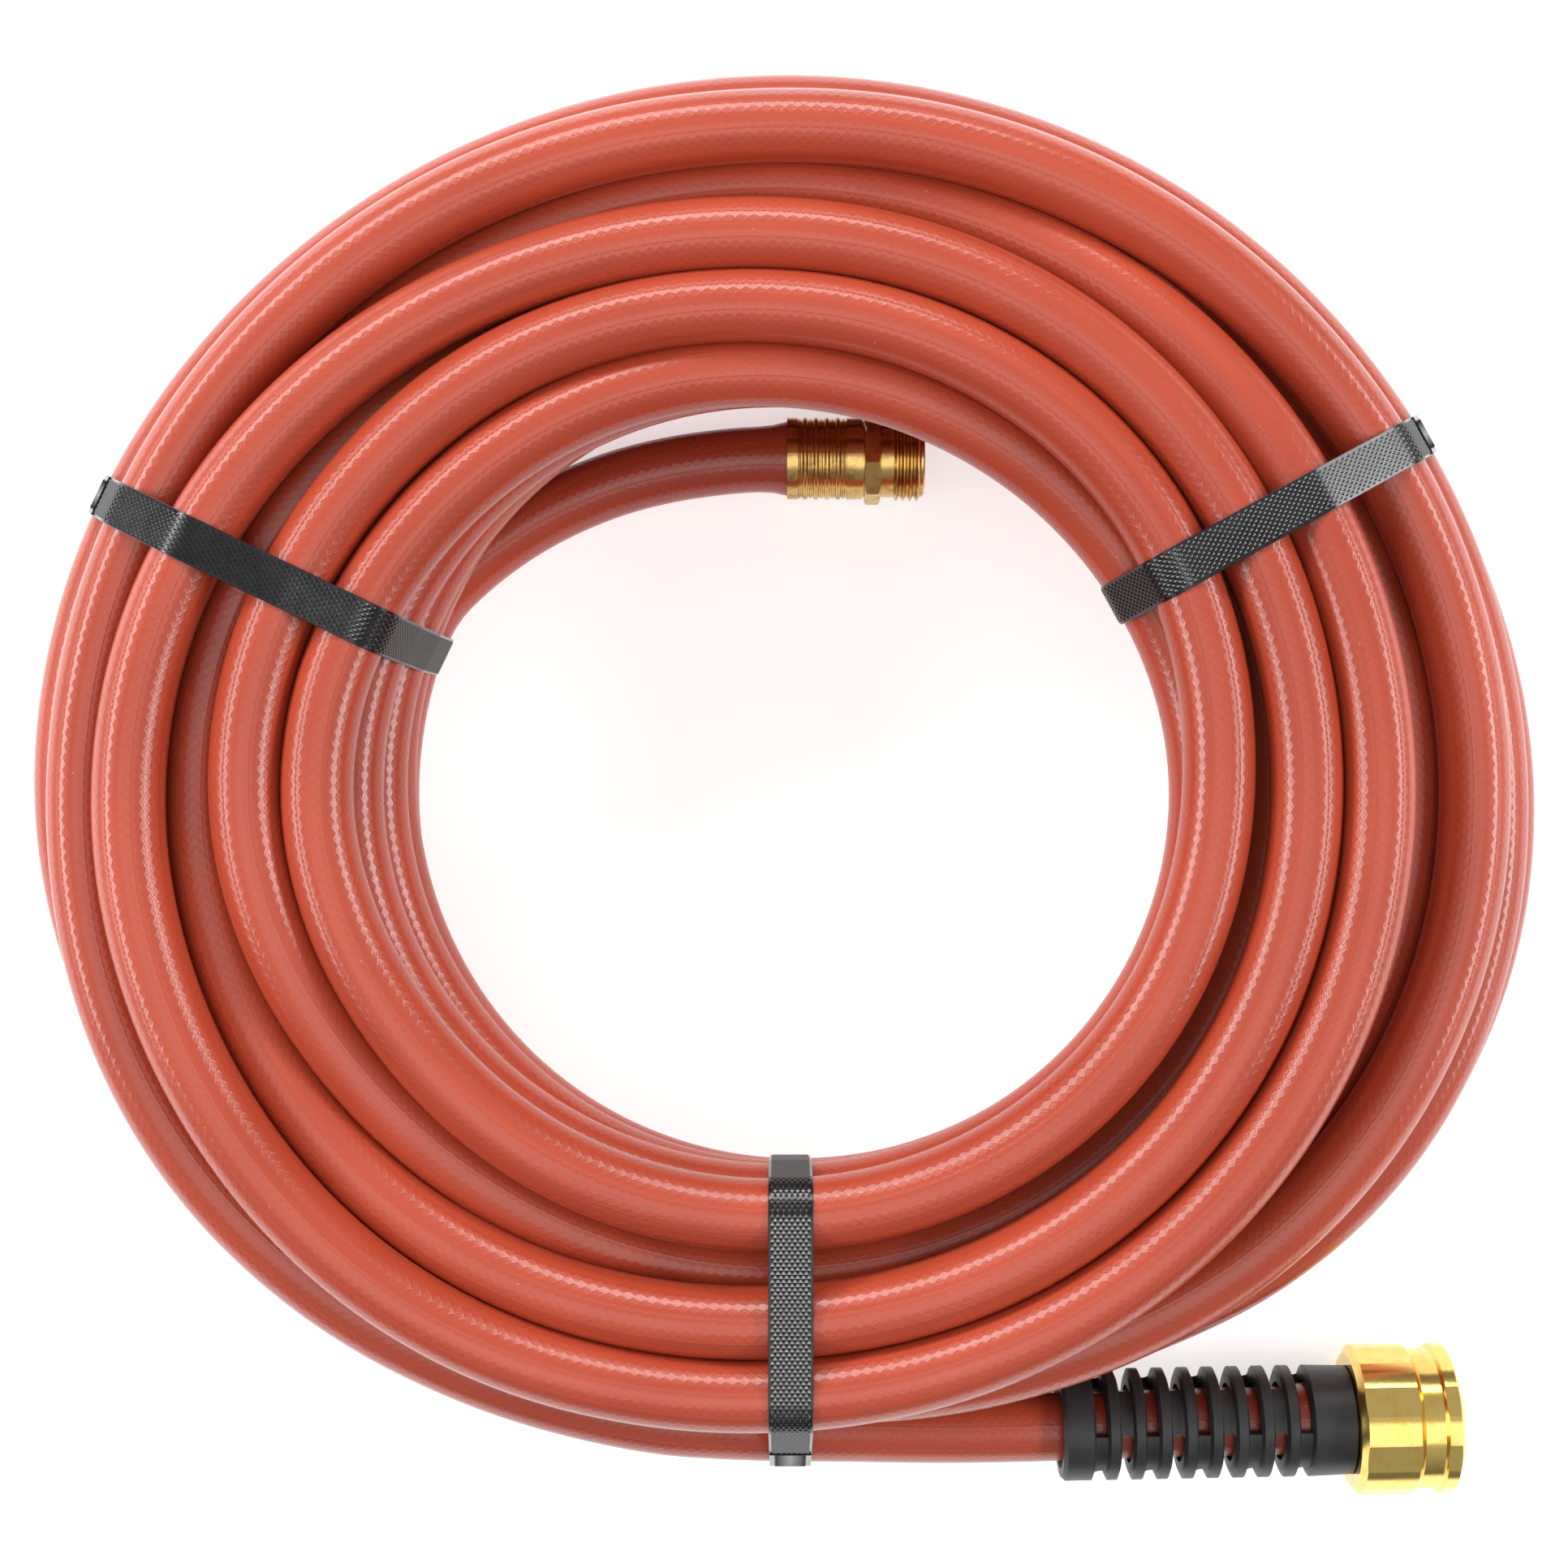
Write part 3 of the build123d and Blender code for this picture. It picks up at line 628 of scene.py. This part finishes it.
@dataclass(frozen=True)
class TurnedBrass:
    """Brass with fine turning marks round its axis, slightly uneven colour and tiny dings."""

    name: str
    colour: tuple[float, float, float]
    tarnish: tuple[float, float, float]
    centre: tuple[float, float, float]
    yaw: float = 0.0
    rough: float = 0.16
    mark_depth: float = 0.000012

    def material(self) -> bpy.types.Material:
        """Builds the brass, its marks running round the piece's axis.

        Returns:
            The material.
        """
        sheet = Finish(self.name)
        back = sheet.add("VectorMath", {0: sheet.place(), 1: self.centre}, operation="SUBTRACT").outputs[0]
        rotation = {"Vector": back, "Angle": -self.yaw}
        turned = sheet.add("VectorRotate", rotation, rotation_type="Z_AXIS").outputs[0]
        lathe = sheet.add("VectorMath", {0: turned, 1: (1, 0.04, 0.04)}, operation="MULTIPLY").outputs[0]
        marks = sheet.noise(lathe, 5200, 2.0)
        cloud = sheet.noise(sheet.place(), 160, 5.0, 0.65)
        spots = sheet.noise(sheet.place(), 900, 3.0, 0.7)
        colour = sheet.ramp(cloud, (0.36, self.tarnish), (0.52, self.colour))
        sheet.join(colour, sheet.shader.inputs["Base Color"])
        cloudy = sheet.remap(cloud, self.rough + 0.10, self.rough - 0.03)
        smear = sheet.maths("ADD", cloudy, sheet.maths("MULTIPLY", spots, 0.06))
        sheet.join(smear, sheet.shader.inputs["Roughness"])
        sheet.relief(sheet.maths("ADD", marks, sheet.maths("MULTIPLY", spots, 1.2)), self.mark_depth)
        sheet.set(metallic=1.0)
        return sheet.material


@dataclass
class Hose:
    """The whole hose as one cord: swollen male end, tail, coil, lead and swollen female end."""

    winding: Winding = field(default_factory=Winding)
    sides: int = 20
    ring_spacing: float = 0.0048
    male_mouth: float = 0.010  # how far the cord's start lies inside the male ferrule
    route: list[Vector] = field(default_factory=list)
    centres: np.ndarray | None = None
    piece: bpy.types.Object | None = None

    def control_points(self) -> list[Vector]:
        """Puts the route together.

        Returns:
            The spline's points, from inside the male ferrule to inside the female one.
        """
        points = [MALE_START + MALE_AXIS * self.male_mouth, MALE_START - MALE_AXIS * SWELL_RUN]
        points += [Vector(point) for point in reversed(TAIL_ROUTE)]
        points += self.winding.settle()
        points += [Vector(point) for point in LEAD_ROUTE]
        points += [GUARD_START + FEMALE_AXIS * FEMALE_SWELL, GUARD_START + FEMALE_AXIS * FEMALE_END]
        return points

    def spline_line(self) -> np.ndarray:
        """Samples the route's spline evenly.

        Returns:
            Points along the centre line, a ring spacing apart.
        """
        curve = bpy.data.curves.new("hose_route", "CURVE")
        curve.dimensions = "3D"
        curve.resolution_u = 12
        spline = curve.splines.new("NURBS")
        spline.points.add(len(self.route) - 1)
        for point, place in zip(spline.points, self.route):
            point.co = (*place, 1)
        spline.order_u = 3
        spline.use_endpoint_u = True
        guide = put("hose_route", curve)
        bpy.context.view_layer.update()
        mesh = bpy.data.meshes.new_from_object(guide)
        line = np.array([vertex.co for vertex in mesh.vertices])
        bpy.data.objects.remove(guide)
        bpy.data.meshes.remove(mesh)
        bpy.data.curves.remove(curve)
        run = run_along(line)
        even = np.linspace(0, run[-1], round(run[-1] / self.ring_spacing) + 1)
        return np.stack([np.interp(even, run, line[:, axis]) for axis in range(3)], 1)

    def radius_at(self, run: np.ndarray) -> np.ndarray:
        """Swells the hose at both ends.

        Args:
            run: Distances from the male end of the cord, in metres.

        Returns:
            The hose's radius at each distance.
        """
        female_mouth = run[-1] - (FEMALE_END - FEMALE_SWELL - SWELL_RUN)
        male = np.clip((self.male_mouth + SWELL_RUN - run) / SWELL_RUN, 0, 1)
        female = np.clip((run - female_mouth + SWELL_RUN) / SWELL_RUN, 0, 1)
        swell = np.maximum(male, female)
        swell = swell * swell * (3 - 2 * swell)
        return HOSE_RADIUS + (SWELL_RADIUS - HOSE_RADIUS) * swell

    def build(self) -> bpy.types.Object:
        """Makes the hose's surface round its centre line, with closed ends and a UV map.

        Returns:
            The hose's object.
        """
        self.route = self.control_points()
        self.centres = self.spline_line()
        run = run_along(self.centres)
        tangents = np.gradient(self.centres, axis=0)
        tangents /= np.linalg.norm(tangents, axis=1)[:, None]
        up = np.array([0, 0, 1.0])
        side = np.cross(up, tangents)
        side /= np.linalg.norm(side, axis=1)[:, None]
        over = np.cross(tangents, side)
        angle = np.linspace(0, 2 * math.pi, self.sides, endpoint=False)
        beside = np.cos(angle)[None, :, None] * side[:, None, :]
        ring = beside + np.sin(angle)[None, :, None] * over[:, None, :]
        verts = (self.centres[:, None, :] + self.radius_at(run)[:, None, None] * ring).reshape(-1, 3)
        rings, sides = len(run), self.sides
        first = np.arange(rings - 1)[:, None] * sides
        here, there = np.arange(sides)[None, :], (np.arange(sides)[None, :] + 1) % sides
        faces = np.stack([first + here, first + there, first + sides + there, first + sides + here], 2)
        faces = faces.reshape(-1, 4).tolist()
        faces.append(list(range(sides - 1, -1, -1)))
        faces.append([(rings - 1) * sides + n for n in range(sides)])
        mesh = bpy.data.meshes.new("hose")
        mesh.from_pydata(verts.tolist(), [], faces)
        uv = mesh.uv_layers.new(name="hose")
        low, high = here / sides, (np.arange(sides)[None, :] + 1) / sides
        start, end = run[:-1, None], run[1:, None]
        wide = np.ones((rings - 1, 1))
        corners = np.stack([
            np.stack([along + 0 * low, wide * round_], 2)
            for along, round_ in ((start, low), (start, high), (end, high), (end, low))
        ], 2).reshape(-1, 2)
        caps = np.zeros((2 * sides, 2))
        uv.data.foreach_set("uv", np.vstack([corners, caps]).astype(np.float32).ravel())
        mesh.shade_smooth()
        self.piece = put("hose", mesh)
        log.info("hose %.2f m long, %d control points, %d rings", run[-1], len(self.route), rings)
        return self.piece

    def declare(self) -> None:
        """Gives the hose its cover and its body, and hides the CAD's own hose nodes."""
        self.piece.data.materials.append(HoseCover().material())
        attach(self.piece, "hose")
        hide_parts("hose_coil", "hose_lead", "hose_tail")


@dataclass(frozen=True)
class Embossing:
    """Small four-sided bosses in rows across a strap's outer face, every other row moved half a step over."""

    name: str
    pitch: float  # from row to row along the strap
    across: float  # from boss to boss in a row
    columns: int
    size: tuple[float, float]  # a boss's length along the strap and its width across
    height: float
    flat: float = 0.35  # how much of a boss's width its flat top keeps
    root: float = 0.00005  # how deep a boss stands in the strap

    def tree(self) -> bpy.types.NodeTree:
        """Builds the node tree that sets the bosses along a line with an "outward" direction at each point.

        Returns:
            The geometry node group.
        """
        tree = bpy.data.node_groups.new(self.name, "GeometryNodeTree")
        sockets = [
            ("Line", "Geometry"), ("Pitch", "Float"), ("Across", "Float"), ("Columns", "Int"),
            ("Half Size", "Vector"), ("Height", "Float"), ("Flat", "Float"), ("Root", "Float"),
            ("Finish", "Material"),
        ]
        for name, kind in sockets:
            tree.interface.new_socket(name, in_out="INPUT", socket_type="NodeSocket" + kind)
        tree.interface.new_socket("Bosses", in_out="OUTPUT", socket_type="NodeSocketGeometry")
        sheet = Sheet(tree)
        given = sheet.add("NodeGroupInput").outputs
        boss = sheet.add("GeometryNodeMeshCone", {
            "Vertices": 4, "Radius Top": given["Flat"], "Radius Bottom": 1.0, "Depth": 1.0,
        }, fill_type="NGON").outputs["Mesh"]
        rise = sheet.maths("ADD", given["Height"], given["Root"])
        half = sheet.add("SeparateXYZ", {0: given["Half Size"]}).outputs
        boss = sheet.add("GeometryNodeTransform", {
            "Geometry": boss,
            "Translation": sheet.vector({2: sheet.maths("MULTIPLY", given["Root"], -1.0)}),
            "Scale": sheet.vector({0: half[0], 1: half[1], 2: rise}),
        }).outputs[0]
        span = sheet.maths("MULTIPLY", sheet.maths("SUBTRACT", given["Columns"], 1.0), given["Across"])
        row = sheet.add("GeometryNodeMeshLine", {
            "Count": given["Columns"],
            "Start Location": sheet.vector({1: sheet.maths("MULTIPLY", span, -0.5)}),
            "Offset": sheet.vector({1: given["Across"]}),
        }, mode="OFFSET").outputs[0]
        bosses = sheet.add("GeometryNodeInstanceOnPoints", {"Points": row, "Instance": boss}).outputs[0]
        curve = sheet.add("GeometryNodeMeshToCurve", {"Mesh": given["Line"]}).outputs[0]
        spaced = {"Curve": curve, "Length": given["Pitch"]}
        stations = sheet.add("GeometryNodeResampleCurve", spaced, mode="LENGTH").outputs[0]
        stored = sheet.add("GeometryNodeInputNamedAttribute", {"Name": "outward"}, data_type="FLOAT_VECTOR")
        turned = sheet.add("FunctionNodeAxesToRotation", {
            "Primary Axis": stored.outputs[0],
            "Secondary Axis": sheet.add("GeometryNodeInputTangent").outputs[0],
        }, primary_axis="Z", secondary_axis="X").outputs[0]
        rows = sheet.add("GeometryNodeInstanceOnPoints", {
            "Points": stations, "Instance": bosses, "Rotation": turned,
        }).outputs[0]
        index = sheet.add("GeometryNodeInputIndex").outputs[0]
        odd = sheet.maths("SUBTRACT", sheet.maths("MODULO", index, 2.0), 0.5)
        step = sheet.maths("MULTIPLY", sheet.maths("MULTIPLY", odd, 0.5), given["Across"])
        moved = sheet.add("GeometryNodeTranslateInstances", {
            "Instances": rows, "Translation": sheet.vector({1: step}),
        }).outputs[0]
        real = sheet.add("GeometryNodeRealizeInstances", {"Geometry": moved}).outputs[0]
        dressed = sheet.add("GeometryNodeSetMaterial", {"Geometry": real, "Material": given["Finish"]})
        sheet.add("NodeGroupOutput", {"Bosses": dressed.outputs[0]})
        return tree

    def press(
        self, name: str, places: np.ndarray, outwards: np.ndarray, finish: bpy.types.Material
    ) -> bpy.types.Mesh:
        """Sets bosses along a line.

        Args:
            name: The mesh's name.
            places: The line's points, on the strap's outer face.
            outwards: The direction that the face looks in at each point.
            finish: The bosses' material.

        Returns:
            The bosses as one plain mesh.
        """
        guide_mesh = bpy.data.meshes.new(name)
        edges = [(n, n + 1) for n in range(len(places) - 1)]
        guide_mesh.from_pydata([tuple(place) for place in places], edges, [])
        directions = guide_mesh.attributes.new("outward", "FLOAT_VECTOR", "POINT")
        directions.data.foreach_set("vector", np.asarray(outwards, np.float32).ravel())
        guide = put(name, guide_mesh)
        tree = self.tree()
        values = {
            "Pitch": self.pitch, "Across": self.across, "Columns": self.columns,
            "Half Size": (self.size[0] / 2, self.size[1] / 2, 0.0), "Height": self.height,
            "Flat": self.flat, "Root": self.root, "Finish": finish,
        }
        modifier = guide.modifiers.new("embossing", "NODES")
        modifier.node_group = tree
        for item in tree.interface.items_tree:
            if item.in_out == "INPUT" and item.name in values:
                modifier[item.identifier] = values[item.name]
        bpy.context.view_layer.update()
        seen = guide.evaluated_get(bpy.context.evaluated_depsgraph_get())
        mesh = bpy.data.meshes.new_from_object(seen)
        bpy.data.objects.remove(guide)
        bpy.data.meshes.remove(guide_mesh)
        bpy.data.node_groups.remove(tree)
        return mesh


@dataclass
class Strap:
    """One strap, pulled tight round the turns where it crosses the coil."""

    node: str
    azimuth: float
    point: tuple[float, float]
    width: float = 0.0127
    thickness: float = 0.0006
    play: float = 0.0002
    weld_length: float = 0.030
    weld_height: float = 0.036
    edge: float = 0.00015  # the bevel along the strap's edges
    waffle: Embossing = Embossing("waffle", 0.00115, 0.0016, 7, (0.0020, 0.0014), 0.00030, 0.12)
    weld_marks: Embossing = Embossing("weld_marks", 0.0012, 0.0, 1, (0.0009, 0.0106), 0.00012, 0.8)

    def axes(self) -> tuple[np.ndarray, np.ndarray]:
        """The way out from the coil's middle in the strap's plane, and the way across the strap."""
        angle = math.radians(self.azimuth)
        out = np.array([math.cos(angle), math.sin(angle), 0])
        return out, np.array([-math.sin(angle), math.cos(angle), 0])

    def crossings(self, centres: np.ndarray) -> np.ndarray:
        """Finds where the hose passes through the strap's plane.

        Args:
            centres: The hose's centre line.

        Returns:
            The places, as (outwards, up) pairs.
        """
        out, normal = self.axes()
        local = centres - np.array([*self.point, 0])
        off, reach = local @ normal, local @ out
        change = np.nonzero(off[:-1] * off[1:] <= 0)[0]
        places = []
        for index in change:
            share = off[index] / (off[index] - off[index + 1])
            radial = reach[index] + share * (reach[index + 1] - reach[index])
            height = centres[index, 2] + share * (centres[index + 1, 2] - centres[index, 2])
            if radial > -0.1:
                places.append((radial, height))
        return np.array(places)

    def outline(self, centres: np.ndarray) -> np.ndarray:
        """Pulls the strap's middle line tight round every turn.

        Args:
            centres: The hose's centre line.

        Returns:
            The loop as (outwards, up) pairs, with even steps.
        """
        reach = HOSE_RADIUS + self.play + self.thickness / 2
        turn = np.linspace(0, 2 * math.pi, 72, endpoint=False)
        circle = reach * np.stack([np.cos(turn), np.sin(turn)], 1)
        cloud = (self.crossings(centres)[:, None, :] + circle[None]).reshape(-1, 2)
        hull = self.hull(cloud)
        loop = np.vstack([hull, hull[:1]])
        run = run_along(loop)
        even = np.linspace(0, run[-1], 320, endpoint=False)
        return np.stack([np.interp(even, run, loop[:, axis]) for axis in range(2)], 1)

    @staticmethod
    def hull(cloud: np.ndarray) -> np.ndarray:
        """Finds the convex outline of a cloud of points.

        Args:
            cloud: The points, as pairs.

        Returns:
            The outline's points, anticlockwise.
        """
        ordered = sorted(map(tuple, cloud))

        def half(points: list[tuple[float, float]]) -> list[tuple[float, float]]:
            """Keeps the points of one side of the outline.

            Args:
                points: All the points, in order along the first axis.

            Returns:
                The side's points, without its last.
            """
            kept: list[tuple[float, float]] = []
            for x, y in points:
                while len(kept) > 1:
                    (ax, ay), (bx, by) = kept[-2], kept[-1]
                    if (bx - ax) * (y - ay) - (by - ay) * (x - ax) > 0:
                        break
                    kept.pop()
                kept.append((x, y))
            return kept[:-1]

        return np.array(half(ordered) + half(ordered[::-1]))

    def build(self, centres: np.ndarray, finish: bpy.types.Material) -> bpy.types.Object:
        """Makes the strap and its welded overlap.

        Args:
            centres: The hose's centre line.
            finish: The strapping material.

        Returns:
            The strap's object.
        """
        line = self.outline(centres)
        ahead = np.roll(line, -1, 0) - np.roll(line, 1, 0)
        ahead /= np.linalg.norm(ahead, axis=1)[:, None]
        outward = np.stack([ahead[:, 1], -ahead[:, 0]], 1)
        out, normal = self.axes()
        up = np.array([0, 0, 1.0])
        origin = np.array([*self.point, 0])
        half, thick, edge = self.width / 2, self.thickness / 2, self.edge
        section = [
            (-half + edge, thick), (half - edge, thick), (half, thick - edge), (half, edge - thick),
            (half - edge, -thick), (edge - half, -thick), (-half, edge - thick), (-half, thick - edge),
        ]
        verts, faces = [], []

        def band(places: np.ndarray, outwards: np.ndarray, lift: float, closed: bool) -> None:
            """Adds one layer of strap.

            Args:
                places: The (outwards, up) points that it follows.
                outwards: The way that its face looks at each point.
                lift: How far it is lifted off them.
                closed: Whether it runs all the way round.
            """
            base, count, size = len(verts), len(places), len(section)
            for place, normal_2d in zip(places, outwards):
                for across, proud in section:
                    spot = place + normal_2d * (proud + lift)
                    verts.append(origin + out * spot[0] + up * spot[1] + normal * across)
            last = count if closed else count - 1
            for n in range(last):
                m = (n + 1) % count
                here, there = base + n * size, base + m * size
                for s in range(size):
                    t = (s + 1) % size
                    faces.append((here + s, here + t, there + t, there + s))
            if not closed:
                faces.append(tuple(base + s for s in reversed(range(size))))
                faces.append(tuple(base + (count - 1) * size + s for s in range(size)))

        band(line, outward, 0.0, True)
        outer_side = line[:, 0] > line[:, 0].max() - 0.03
        low, high = self.weld_height, self.weld_height + self.weld_length
        patch = np.nonzero(outer_side & (line[:, 1] > low) & (line[:, 1] < high) & (outward[:, 0] > 0.2))[0]
        if len(patch) > 3:
            band(line[patch], outward[patch], self.thickness * 1.02, False)
        mesh = bpy.data.meshes.new(self.node + "_band")
        mesh.from_pydata([tuple(vert) for vert in verts], [], faces)
        mesh.materials.append(finish)
        mesh.shade_smooth()
        mesh.set_sharp_from_angle(angle=math.radians(40))

        def flat_line(chosen: np.ndarray, lift: float) -> tuple[np.ndarray, np.ndarray]:
            """Turns a stretch of the strap's line into the coil's frame.

            Args:
                chosen: Which of the line's points, in order.
                lift: How far they are lifted off it.

            Returns:
                The points, and the way that the strap's face looks at each.
            """
            spots = line[chosen] + outward[chosen] * lift
            places = origin + spots[:, :1] * out + spots[:, 1:] * up
            return places, outward[chosen, :1] * out + outward[chosen, 1:] * up

        # the embossing stops where the strap turns under the coil; the weld's layer covers what is under it
        open_face = outward[:, 1] > -0.3
        starts = np.nonzero(open_face & ~np.roll(open_face, 1))[0]
        whole = np.roll(np.arange(len(line)), -starts[0])
        whole = whole[open_face[whole]]
        meshes = [mesh, self.waffle.press(self.node + "_waffle", *flat_line(whole, thick), finish)]
        if len(patch) > 3:
            marks = flat_line(patch, self.thickness * 1.52)
            meshes.append(self.weld_marks.press(self.node + "_weld", *marks, finish))
        piece = put(self.node + "_band", self.merged(meshes))
        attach(piece, "hose")
        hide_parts(self.node)
        log.info("%s %d points round, %d faces", self.node, len(line), len(piece.data.polygons))
        return piece

    @staticmethod
    def merged(meshes: list[bpy.types.Mesh]) -> bpy.types.Mesh:
        """Puts several meshes of one finish into the first.

        Args:
            meshes: The meshes, of which only the first is kept.

        Returns:
            The first mesh.
        """
        whole = bmesh.new()
        for mesh in meshes:
            whole.from_mesh(mesh)
        whole.to_mesh(meshes[0])
        whole.free()
        for mesh in meshes[1:]:
            bpy.data.meshes.remove(mesh)
        return meshes[0]


@dataclass
class Couplings:
    """The finishes of both end couplings, which keep their CAD shapes."""

    nodes: dict[str, bpy.types.Object]

    def dress(self) -> None:
        """Gives each CAD node its own finish."""
        gold = TurnedBrass(
            "nut_brass", (0.90, 0.66, 0.20), (0.84, 0.58, 0.15), tuple(GUARD_START), FEMALE_YAW, rough=0.09
        )
        brass = TurnedBrass(
            "end_brass", (0.64, 0.43, 0.15), (0.42, 0.25, 0.08), tuple(MALE_START), rough=0.17
        )
        finishes = {
            "swivel_nut": gold.material(),
            "male_fitting": brass.material(),
            "kink_guard": MouldedPlastic("guard", (0.013, 0.013, 0.014), 0.42).material(),
            "hose_washer": MouldedPlastic("washer", (0.02, 0.02, 0.02), 0.6).material(),
        }
        shared = finishes["male_fitting"]
        for name in ("male_ferrule", "female_ferrule", "female_stem"):
            finishes[name] = shared
        for name, finish in finishes.items():
            piece = self.nodes[name]
            for slot in piece.material_slots:
                slot.material = finish
            log.info("%s dressed with %s", name, finish.name)


@dataclass
class Studio:
    """Pale floor, soft lights and the camera above the coil."""

    camera_place: tuple[float, float, float] = (-0.0035, 0.0043, 0.78)
    focal_length: float = 54.876
    sensor: float = 36.0
    floor_reach: float = 4.0
    sky: tuple[float, float] = (0.12, 0.58)  # its strength at the horizon and overhead

    def camera(self) -> None:
        """Sets the camera straight above the coil, looking down with +Y up in the picture."""
        data = bpy.data.cameras.new("camera")
        data.sensor_width = self.sensor
        data.lens = self.focal_length
        data.clip_start = 0.01
        camera = put("camera", data)
        camera.location = self.camera_place
        bpy.context.scene.camera = camera

    def softbox(
        self, name: str, place: tuple[float, float, float], size: tuple[float, float], power: float
    ) -> None:
        """Hangs a rectangular light that faces the coil.

        Args:
            name: The light's name.
            place: Where it hangs.
            size: Its width and height.
            power: Its power in watts.
        """
        data = bpy.data.lights.new(name, "AREA")
        data.shape = "RECTANGLE"
        data.size, data.size_y = size
        data.energy = power
        light = put(name, data)
        light.location = place
        light.rotation_euler = (-Vector(place)).to_track_quat("-Z", "Y").to_euler()

    def floor(self) -> None:
        """Lays a wide pale floor."""
        mesh = bpy.data.meshes.new("floor")
        reach = self.floor_reach
        corners = [(-reach, -reach, 0), (reach, -reach, 0), (reach, reach, 0), (-reach, reach, 0)]
        mesh.from_pydata(corners, [], [(0, 1, 2, 3)])
        sheet = Finish("floor_paper")
        cloud = sheet.noise(sheet.place(), 3.0)
        colour = sheet.ramp(cloud, (0.3, (0.72, 0.72, 0.72)), (0.7, (0.76, 0.76, 0.76)))
        sheet.join(colour, sheet.shader.inputs["Base Color"])
        sheet.set(roughness=0.9, specular_ior_level=0.1, emission_color=(1, 1, 1, 1), emission_strength=0.60)
        mesh.materials.append(sheet.material)
        floor = put("floor", mesh)

    def light(self) -> None:
        """Sets the sky and the softboxes."""
        world = bpy.data.worlds.new("sky")
        world.use_nodes = True
        background = world.node_tree.nodes["Background"]
        background.inputs["Color"].default_value = (1, 1, 1, 1)
        sheet = Sheet(world.node_tree)
        height = sheet.add("SeparateXYZ", {0: sheet.add("TexCoord").outputs["Generated"]}).outputs["Z"]
        sheet.join(sheet.remap(height, *self.sky), background.inputs["Strength"])
        bpy.context.scene.world = world
        self.softbox("key", (-0.45, 1.30, 0.98), (2.4, 0.34), 27)
        self.softbox("top", (0.0, -0.5, 1.9), (1.8, 1.2), 8)
        self.softbox("right", (1.5, 0.1, 0.85), (1.6, 0.30), 21)
        self.softbox("left", (-1.5, 0.1, 0.85), (1.6, 0.30), 20)
        bpy.context.scene.view_settings.view_transform = "Standard"


def main() -> None:
    """Builds the coil in order and reports each piece."""
    logging.basicConfig(level=logging.INFO, format="%(name)s: %(message)s")
    studio = Studio()
    studio.camera()
    hose = Hose()
    hose.build()
    hose.declare()
    strapping = Strapping().material()
    for node, azimuth, point in STRAPS:
        Strap(node, azimuth, point).build(hose.centres, strapping)
    Couplings(frame["nodes"]).dress()
    studio.floor()
    studio.light()


if __name__ == "__main__":
    main()
